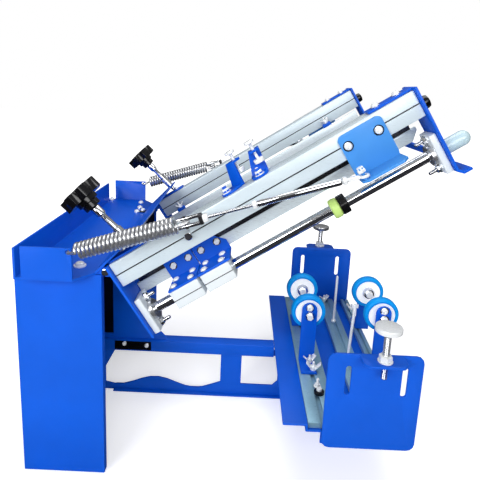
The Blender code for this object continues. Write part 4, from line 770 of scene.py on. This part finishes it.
class PRINTER_OT_rollers(PrinterStep, bpy.types.Operator):
    """Turns the four rollers: tyre, dished hub and bearing"""

    bl_idname = "screen_printer.rollers"
    bl_label = "Rollers"

    def execute(self, context):
        props = props_of(context)
        radius = props.tyre
        rim = radius - 0.0062
        half = [
            (rim, -0.0052), (rim + 0.0008, -0.0068), (radius - 0.0030, -0.0070),
            (radius - 0.0012, -0.0062), (radius - 0.0002, -0.0042),
        ]
        tyre = turned("tyre", mirrored(half, [(radius, 0)]), "azure_rubber", 64, ROUND_SMOOTH)
        half = [(0.0092, -0.0055), (rim - 0.0022, -0.0050), (rim + 0.0001, -0.0060)]
        hub = turned("hub", mirrored(half), "wheel_hub", 64)
        half = [
            (0.0045, -0.0060), (0.0062, -0.0060), (0.0066, -0.0052), (0.0078, -0.0052),
            (0.0082, -0.0060), (0.0093, -0.0060),
        ]
        bearing = turned("bearing", mirrored(half), "zinc", 48)
        master = gather("roller", [tyre, hub, bearing])
        for label, x in ROLLERS_X.items():
            for side, y in ROLLERS_Y.items():
                place = at(x, y, AXLE_Z, TO_FAR)
                piece = spread(f"roller_{label}_{side}", master, [place], keep=True)
                belongs(piece, f"wheel_{label}_{side}", "azure_rubber", f"wheel_{label}_{side}")
        bpy.data.objects.remove(master)
        return {"FINISHED"}


class PRINTER_OT_roller_brackets(PrinterStep, bpy.types.Operator):
    """Rounds the roller brackets and adds their axle bolts and wing nuts"""

    bl_idname = "screen_printer.roller_brackets"
    bl_label = "Roller brackets"

    def execute(self, context):
        props = props_of(context)
        for label, x in ROLLERS_X.items():
            for side, y in ROLLERS_Y.items():
                sign = SIDES[side]
                outward, inward = OUTWARD[sign], OUTWARD[-sign]
                node = f"wheel_bracket_{label}_{side}"
                blade = sheet_copy(node, "blue_paint", props.edge)
                face = y + sign * 0.0145
                bolts = [
                    settle(hex_bolt(0.0048), at(x, face + sign * 0.0040, AXLE_Z, outward, 0.3)),
                    settle(pan_bolt(0.0045), at(x, face, 0.1745, outward)),
                    settle(hex_bolt(0.0058), at(x, y - sign * 0.0103, AXLE_Z, inward, 0.2)),
                    settle(wing_nut(0.0040), at(x + 0.004, y + sign * 0.0200, BRACKET_FOOT, UP, 0.5)),
                    settle(wing_nut(0.0044), at(x + 0.007, y + sign * 0.0385, BRACKET_FOOT, UP, -0.2)),
                ]
                piece = gather(f"{node}_fitted", [blade, *bolts])
                belongs(piece, f"bracket_{label}_{side}", "blue_paint", node)
        return {"FINISHED"}


class PRINTER_OT_stop_rods(PrinterStep, bpy.types.Operator):
    """Turns the two stop rods on the centre rail"""

    bl_idname = "screen_printer.stop_rods"
    bl_label = "Stop rods"

    def execute(self, context):
        ball = [(0.0006, 0)]
        for step in range(1, 9):
            angle = math.pi * step / 10
            ball.append((0.004 * math.sin(angle), 0.004 * (1 - math.cos(angle))))
        rod = turned("rod", ball + [(0.0020, 0.0078), (0.0020, 0.0838), (0.0016, 0.0847)], "zinc", 28)
        belongs(settle(rod, at(0.166, 0.077, 0.0903)), "base", "chrome", "stop_rod_far")
        rod = turned("near_rod", [(0.0021, 0), (0.0021, 0.0843), (0.0017, 0.0850)], "zinc", 28)
        wing = block("wing", (-0.005, -0.001, 0.0790), (0.005, 0.001, 0.0850), "zinc", 0.0006)
        piece = gather("lean_rod", [rod, wing])
        settle(piece, at(0.1685, -0.027, 0.0904) @ Matrix.Rotation(math.radians(2.5), 4, "Y"))
        belongs(piece, "base", "chrome", "stop_rod_near")
        return {"FINISHED"}


class PRINTER_OT_profiles(PrinterStep, bpy.types.Operator):
    """Cuts the two T-slot profiles"""

    bl_idname = "screen_printer.profiles"
    bl_label = "Profiles"

    def execute(self, context):
        half, mouth, floor, over = PROFILE_SIZE / 2, 0.0007, 0.0125, 0.01
        centre = PROFILE_TOP - half
        start, end = PROFILE_START, PROFILE_END
        for side, sign in SIDES.items():
            v = sign * PROFILE_V
            low, high = (start, v - half, centre - half), (end, v + half, centre + half)
            bar = block("bar", low, high, "aluminium", STOCK_EDGE, 3)
            cutters = []
            for turn in range(4):
                spin = Matrix.Translation((0, v, centre)) @ Matrix.Rotation(turn * QUARTER, 4, "X")
                low, high = (start - over, -mouth, floor), (end + over, mouth, 0.0165)
                cutters.append(settle(block("slot", low, high, "aluminium"), spin))
            cut(bar, *cutters)
            soften(bar, 0.0002, 1)
            done(bar, "aluminium")

            def in_slot(spot):
                across, up = abs(spot.y - v), abs(spot.z - centre)
                within = start + 0.001 < spot.x < end - 0.001
                return within and max(across, up) < half - 0.0003 and min(across, up) < 0.0008

            # The slots' walls and floors take the dark finish as painted shade.
            paint_shade_inside(bar, "dark_steel", in_slot)
            bar.name = f"slotted_profile_{side}"
            belongs(settle(bar, ARM), "arm", "aluminium", f"profile_{side}")
        return {"FINISHED"}


class PRINTER_OT_arm_sheets(PrinterStep, bpy.types.Operator):
    """Rounds the edges of the arm's plates, brackets, clamps and cross strip"""

    bl_idname = "screen_printer.arm_sheets"
    bl_label = "Arm sheets"

    def execute(self, context):
        props = props_of(context)
        plates = ("head_plate_near", "head_plate_far", "tail_plate_near", "tail_plate_far")
        for node in (*plates, "cross_strip", "left_clamp", "right_clamp"):
            belongs(sheet_copy(node, "blue_paint", props.edge), "arm", "blue_paint", node)
        for node in ("spring_bracket_near", "spring_bracket_far"):
            belongs(sheet_copy(node, "light_blue_paint", props.edge), "arm", "light_blue_paint", node)
        return {"FINISHED"}


class PRINTER_OT_guide_rods(PrinterStep, bpy.types.Operator):
    """Turns the guide rods, their supports and the stop rings"""

    bl_idname = "screen_printer.guide_rods"
    bl_label = "Guide rods"

    def execute(self, context):
        props = props_of(context)
        rod = props.rod
        bore = rod + PLAY
        for side, sign in SIDES.items():
            v = sign * PROFILE_V
            rings = [(rod - 0.0006, 0), (rod, 0.0006), (rod, 0.3779), (rod - 0.0006, 0.3785)]
            bar = turned(f"guide_bar_{side}", rings, "chrome", 64)
            belongs(settle(bar, on_arm(0.0085, v, ROD_W, TO_RIGHT)), "arm", "chrome", f"guide_rod_{side}")
            ends = (("head", HEAD_FACE + PLAY, TO_RIGHT), ("tail", PROFILE_END, TO_LEFT))
            for end, seat, turn in ends:
                low, high = (-0.0235, -0.0145, 0), (0.0235, 0.0145, 0.008)
                flange = block("flange", low, high, "cast_aluminium", STOCK_EDGE, 3)
                rings = [
                    (bore, 0.007), (0.0125, 0.007), (0.0125, 0.0125),
                    (0.0119, 0.0131), (bore, 0.0131), (bore, 0.007),
                ]
                hub = turned("hub", rings, "spring_steel", 48)
                hole = turned("hole", [(bore, -0.01), (bore, 0.02)], "aluminium", 48)
                cut(flange, hole)
                done(flange, "cast_aluminium")
                seats = [at(x, 0, 0.008) for x in (-0.018, 0.018)]
                studs = spread("studs", stud_nut(0.0042, 0.0135, "chrome"), seats)
                piece = gather(f"support_{end}_{side}", [flange, hub, studs])
                settle(piece, on_arm(seat, v, ROD_W, turn))
                belongs(piece, "arm", "aluminium", f"rod_support_{end}_{side}")
            rings = [
                (bore, 0), (0.0098, 0), (0.0114, 0.0014), (0.0117, 0.005),
                (0.0114, 0.0086), (0.0100, 0.010), (bore, 0.010), (bore, 0),
            ]
            bumper = turned("bumper", rings, "yellow_rubber", 64)
            rings = [
                (bore, 0.0102), (0.0110, 0.0102), (0.0115, 0.0108), (0.0115, 0.0188),
                (0.0109, 0.0195), (bore, 0.0195), (bore, 0.0102),
            ]
            collar = turned("collar", rings, "black_plastic", 64)
            piece = gather(f"stop_set_{side}", [bumper, collar])
            settle(piece, on_arm(BUMPER_START, v, ROD_W, TO_RIGHT))
            belongs(piece, "arm", "yellow_rubber", f"stop_ring_{side}")
        return {"FINISHED"}


class PRINTER_OT_end_fittings(PrinterStep, bpy.types.Operator):
    """Turns the black end caps and the pull handle"""

    bl_idname = "screen_printer.end_fittings"
    bl_label = "End fittings"

    def execute(self, context):
        for side, sign in SIDES.items():
            rings = [
                (0.0060, 0), (0.0072, 0.0004), (0.0074, 0.0070), (0.0066, 0.0092),
                (0.0045, 0.0100), (0.0028, 0.0098), (0.0028, 0.0070),
            ]
            cap = turned(f"black_cap_{side}", rings, "black_plastic", 48)
            settle(cap, on_arm(TAIL_FACE + PLAY, sign * PROFILE_V, -0.015, TO_RIGHT))
            belongs(cap, "arm", "black_plastic", f"end_cap_{side}")
        wide, steps = 0.0085, 9
        rings = [(0.0070, 0), (0.0080, 0.0008), (wide, 0.0040)]
        dome = 0.032 - wide
        for step in range(steps):
            angle = 0.5 * math.pi * step / steps
            rings.append((wide * math.cos(angle), dome + wide * math.sin(angle)))
        grip = turned("grip", rings, "pale_grip", 48, ROUND_SMOOTH)
        settle(grip, on_arm(TAIL_FACE + PLAY, -PROFILE_V, ROD_W, TO_RIGHT))
        belongs(grip, "arm", "pale_grip", "pull_handle")
        return {"FINISHED"}


class PRINTER_OT_arm_fasteners(PrinterStep, bpy.types.Operator):
    """Adds the bolts of the straps and spring brackets, the posts' nuts and the profile's peg"""

    bl_idname = "screen_printer.arm_fasteners"
    bl_label = "Arm fasteners"

    def execute(self, context):
        props = props_of(context)
        thick = 0.0035
        crown = [hex_head(0.0046, thick), settle(hex_head(0.0038, 0.0026), at(0, 0, thick))]
        lock = gather("post_lock", crown)
        posts = [on_arm(0.3013, sign * SPRING_V, -0.0376) for sign in SIDES.values()]
        belongs(spread("post_nuts", lock, posts), "arm", "chrome")
        places = []
        for sign in SIDES.values():
            pad = ((0.3045, -0.0115), (0.3400, -0.0125))
            places += [on_arm(u, sign * BRACKET_FACE, w, OUTWARD[sign]) for u, w in pad]
            places += [on_arm(u, sign * PROFILE_V, STRAP_TOP) for u in (0.3520, 0.3770, 0.0460)]
        belongs(spread("arm_bolts", pan_bolt(props.bolt), places), "arm", "chrome")
        rings = [(0.0045, 0), (0.0045, 0.0070), (0.0038, 0.0078), (0.0020, 0.0080)]
        peg = turned("peg", rings, "chrome", 28)
        belongs(settle(peg, on_arm(0.1065, -0.1653, -0.010, TO_NEAR)), "arm", "chrome")
        return {"FINISHED"}


class PRINTER_OT_clamp_screws(PrinterStep, bpy.types.Operator):
    """Turns the clamps' thumb screws and foot nuts"""

    bl_idname = "screen_printer.clamp_screws"
    bl_label = "Clamp screws"

    def execute(self, context):
        lip_height = 0.029
        lean = math.tan(math.radians(13)) * lip_height
        clamps = (("left", 0.1784, math.radians(-45), 0.009), ("right", 0.208, 0.0, -0.009))
        for side, u, turn, across in clamps:
            seat = on_arm(u, -0.140, 0.0053) @ Matrix.Rotation(turn, 4, "Z")
            rings = [
                (0.0055, -0.0160), (0.0061, -0.0155), (0.0061, -0.0115), (0.0055, -0.0110),
                (0.0018, -0.0108), *thread(0.0018, -0.0105, 0.0068, 0.0008), (0.0024, 0.0072),
                (0.0056, 0.0078), (0.0060, 0.0084), (0.0060, 0.0106), (0.0054, 0.0113),
            ]
            screw = turned(f"{side}_thumb_turned", rings, "zinc", 32)
            settle(screw, seat @ at(lean, across, lip_height))
            belongs(screw, f"{side}_thumb_screw", "chrome", f"{side}_thumb_screw")
            nut = settle(stud_nut(0.0046, 0.0085), seat @ at(0, -0.018, 0.0026))
            nut.name = f"{side}_clamp_nut"
            belongs(nut, "arm", "chrome")
        return {"FINISHED"}


class PRINTER_OT_carriages(PrinterStep, bpy.types.Operator):
    """Makes the bearing blocks, angles and screen bars of both carriages"""

    bl_idname = "screen_printer.carriages"
    bl_label = "Carriages"

    def execute(self, context):
        props = props_of(context)
        for side, sign in SIDES.items():
            body = f"carriage_{side}"
            v = sign * PROFILE_V
            for label, start in (("left", 0.050), ("right", 0.091)):
                low, high = (start, v - 0.017, -0.080), (start + 0.037, v + 0.017, -0.058)
                shell = block("block", low, high, "cast_aluminium", STOCK_EDGE, 3)
                wide = props.rod + PLAY
                bore = turned("bore", [(wide, -0.05), (wide, 0.05)], "aluminium", 48)
                settle(bore, at(start + 0.018, v, ROD_W, TO_RIGHT))
                low = (start - 0.01, v + sign * 0.0155, ROD_W)
                high = (start + 0.05, v + sign * 0.03, -0.069)
                cut(shell, bore, block("groove", low, high, "cast_aluminium"))
                done(shell, "cast_aluminium")

                def in_groove(spot):
                    return abs(spot.z - ROD_W) < 0.0012 and 0.0150 < sign * (spot.y - v) < 0.0169

                # The groove's faces take the dark finish as painted shade.
                paint_shade_inside(shell, "dark_steel", in_groove)
                shell.name = f"slide_block_{label}_{side}"
                belongs(settle(shell, ARM), body, "aluminium", f"bearing_block_{label}_{side}")
            angle = sheet_copy(f"carriage_angle_{side}", "blue_paint", props.edge)
            gap = block("gap", (0.0884, v - 0.03, -0.07), (0.0896, v + 0.03, -0.02), "blue_paint")
            cut(angle, settle(gap, ARM))
            belongs(done(angle, "blue_paint"), body, "blue_paint", f"carriage_angle_{side}")
            bar = sheet_copy(f"screen_bar_{side}", "bar_aluminium", 0.0008)
            belongs(bar, body, "grey_aluminium", f"screen_bar_{side}")
            # The near web under the profile is dark as painted shade; the far one is bar aluminium.
            web_finish_shaded_near = "dark_steel" if sign < 0 else "bar_aluminium"
            low, high = (0.012, sign * 0.1225, -0.0390), (0.380, sign * 0.1265, BAR_TOP)
            web = block(f"bar_web_{side}", low, high, web_finish_shaded_near, 0.0005)
            belongs(settle(web, ARM), body, "grey_aluminium")
            belongs(self.frame_clips(side, sign), body, "chrome")
            shelf, rows, tops = -0.0551, ((0.1400, 0.6), (0.1600, -0.4)), []
            for u in (0.057, 0.080, 0.098, 0.121):
                tops += [on_arm(u, sign * y, shelf, UP, roll) for y, roll in rows]
            screws = spread("screws", slotted_screw(0.0040), tops)
            along = (0.060, 0.081, 0.099, 0.121)
            faces = [on_arm(u, sign * 0.1303, -0.0410, OUTWARD[sign], 0.2) for u in along]
            bolts = spread("bolts", hex_bolt(0.0036), faces)
            belongs(gather(f"carriage_screws_{side}", [screws, bolts]), body, "chrome")
        return {"FINISHED"}

    def frame_clips(self, side, sign):
        """A blue clip with its wing screw near each end of a screen bar."""
        thick = 0.0055
        clip = block("clip", (-0.007, -0.0045, 0), (0.007, 0.0045, thick), "blue_paint", 0.0008)
        screw = settle(wing_nut(0.0032, 3.4), at(0, 0, thick, UP, 0.6))
        places = [on_arm(u, sign * 0.1240, BAR_TOP) for u in (0.0408, 0.328)]
        return spread(f"frame_clips_{side}", gather("clip_set", [clip, screw]), places)


class PRINTER_OT_springs(PrinterStep, bpy.types.Operator):
    """Winds the springs and turns the tie rods that pull them"""

    bl_idname = "screen_printer.springs"
    bl_label = "Springs"

    def execute(self, context):
        props = props_of(context)
        for side, sign in SIDES.items():
            hook = Vector((SPRING_HOOK[0], sign * SPRING_V, SPRING_HOOK[1]))
            place = Matrix.Translation(hook) @ Matrix.Rotation(-SPRING_SLOPE, 4, "Y")
            self.coil(side, sign, place, props.wire)
            self.tie(side, place)
        return {"FINISHED"}

    def coil(self, side, sign, place, wire):
        """A wire that hooks the tray, winds the turns and hooks the tie rod's pin."""
        points, bends = 20, 14
        route = []
        bend = [1.5 * math.pi * (1 - step / bends) - QUARTER for step in range(bends + 1)]
        for angle in bend:
            across = 0.00425 + COIL_LOOP * math.sin(angle)
            route.append((-COIL_LOOP * math.cos(angle), -sign * across, 0))
        for step in range(COIL_TURNS * points + 1):
            angle = sign * QUARTER + 2 * math.pi * step / points
            along = COIL_START + COIL_LENGTH * step / (COIL_TURNS * points)
            route.append((along, COIL_RADIUS * math.sin(angle), COIL_RADIUS * math.cos(angle)))
        for angle in reversed(bend):
            along = PIN_ALONG + COIL_LOOP * math.cos(angle)
            route.append((along, -sign * COIL_LOOP * math.sin(angle), 0))
        deselect()
        curve = bpy.data.curves.new("wire", "CURVE")
        curve.dimensions = "3D"
        curve.bevel_depth = wire
        curve.bevel_resolution = 3
        curve.use_fill_caps = True
        line = curve.splines.new("POLY")
        line.points.add(len(route) - 1)
        for point, spot in zip(line.points, route):
            point.co = (*spot, 1)
        coil = bpy.data.objects.new(f"wound_spring_{side}", curve)
        bpy.context.scene.collection.objects.link(coil)
        select_only(coil)
        bpy.ops.object.convert(target="MESH")
        coil = bpy.context.object
        done(coil, "spring_steel", ROUND_SMOOTH)
        settle(coil, place)
        ends = [place @ Vector((along, 0, 0)) for along in (COIL_START, COIL_START + COIL_LENGTH)]
        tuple(ends[0])
        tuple(ends[1])
        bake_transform(coil)
        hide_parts(f"spring_coil_{side}")

    def tie(self, side, place):
        """Clevis on the coil's pin, threaded rod with its sleeve, and the end eye with its neck."""
        fork, end = PIN_ALONG + 0.019, TIE_END
        bars = []
        for up in (-1, 1):
            low = (PIN_ALONG - 0.009, -0.0028, up * 0.0042 - 0.0018)
            bars.append(block("arm", low, (fork, 0.0028, up * 0.0042 + 0.0018), "chrome", 0.0010, 3))
        low, high = (fork - 0.0045, -0.0034, -0.0060), (fork, 0.0034, 0.0060)
        bars.append(block("yoke", low, high, "dark_steel", 0.0010, 3))
        half = [(0.0024, -0.0068), (0.0024, -0.0058), (0.0015, -0.0056)]
        pin = settle(turned("pin", mirrored(half, bored=False), "chrome", 24), at(PIN_ALONG, 0, 0))
        nut = settle(hex_head(0.0048, 0.0055), at(fork, 0, 0, TO_RIGHT))
        thin, sleeve = 0.0020, 0.0036
        rings = [(thin, fork)] + thread(thin, fork + 0.0055, 0.2060, 0.0009)
        rings += [
            (0.0030, 0.2070), (sleeve, 0.2085), (sleeve, 0.2960),
            (0.0030, 0.2975), (thin, 0.2990), (thin, end - 0.0055),
        ]
        rod = settle(turned("rod", rings, "chrome", 28), TO_RIGHT)
        locks = [settle(hex_head(0.0046, 0.0045), at(x, 0, 0, TO_RIGHT)) for x in (0.2030, 0.2990)]
        half = [(0.0038, -0.0014), (0.0056, -0.0014), (0.0061, -0.0009)]
        eye = settle(turned("eye", mirrored(half), "zinc", 40), at(end, 0, 0))
        low, high = (end - 0.0170, -0.0030, -0.0022), (end - 0.0050, 0.0030, 0.0022)
        neck = block("neck", low, high, "zinc", 0.0008)
        piece = gather(f"tie_{side}_turned", [rod, *bars, pin, nut, *locks, eye, neck])
        settle(piece, place)
        belongs(piece, f"tie_{side}", "chrome", f"tie_rod_{side}")


class PRINTER_PT_panel(bpy.types.Panel):
    """Lists the sizes, the colours and the steps of the build"""

    bl_idname = "PRINTER_PT_panel"
    bl_label = "Screen printer"
    bl_space_type = "VIEW_3D"
    bl_region_type = "UI"
    bl_category = "Screen printer"

    def draw(self, context):
        for key in ScreenPrinterProps.__annotations__:
            self.layout.prop(props_of(context), key)
        for operator in OPERATORS:
            self.layout.operator(operator.bl_idname)


OPERATORS = (
    PRINTER_OT_finishes,
    PRINTER_OT_stage,
    PRINTER_OT_base_sheets,
    PRINTER_OT_base_fasteners,
    PRINTER_OT_stop_screws,
    PRINTER_OT_height_screws,
    PRINTER_OT_rollers,
    PRINTER_OT_roller_brackets,
    PRINTER_OT_stop_rods,
    PRINTER_OT_profiles,
    PRINTER_OT_arm_sheets,
    PRINTER_OT_guide_rods,
    PRINTER_OT_end_fittings,
    PRINTER_OT_arm_fasteners,
    PRINTER_OT_clamp_screws,
    PRINTER_OT_carriages,
    PRINTER_OT_springs,
)


def register():
    for kind in (ScreenPrinterProps, *OPERATORS, PRINTER_PT_panel):
        bpy.utils.register_class(kind)
    bpy.types.Scene.screen_printer = bpy.props.PointerProperty(type=ScreenPrinterProps)


def unregister():
    del bpy.types.Scene.screen_printer
    for kind in (PRINTER_PT_panel, *reversed(OPERATORS), ScreenPrinterProps):
        bpy.utils.unregister_class(kind)


def main():
    register()
    for operator in OPERATORS:
        group, name = operator.bl_idname.split(".")
        getattr(getattr(bpy.ops, group), name)()


if __name__ == "__main__":
    main()
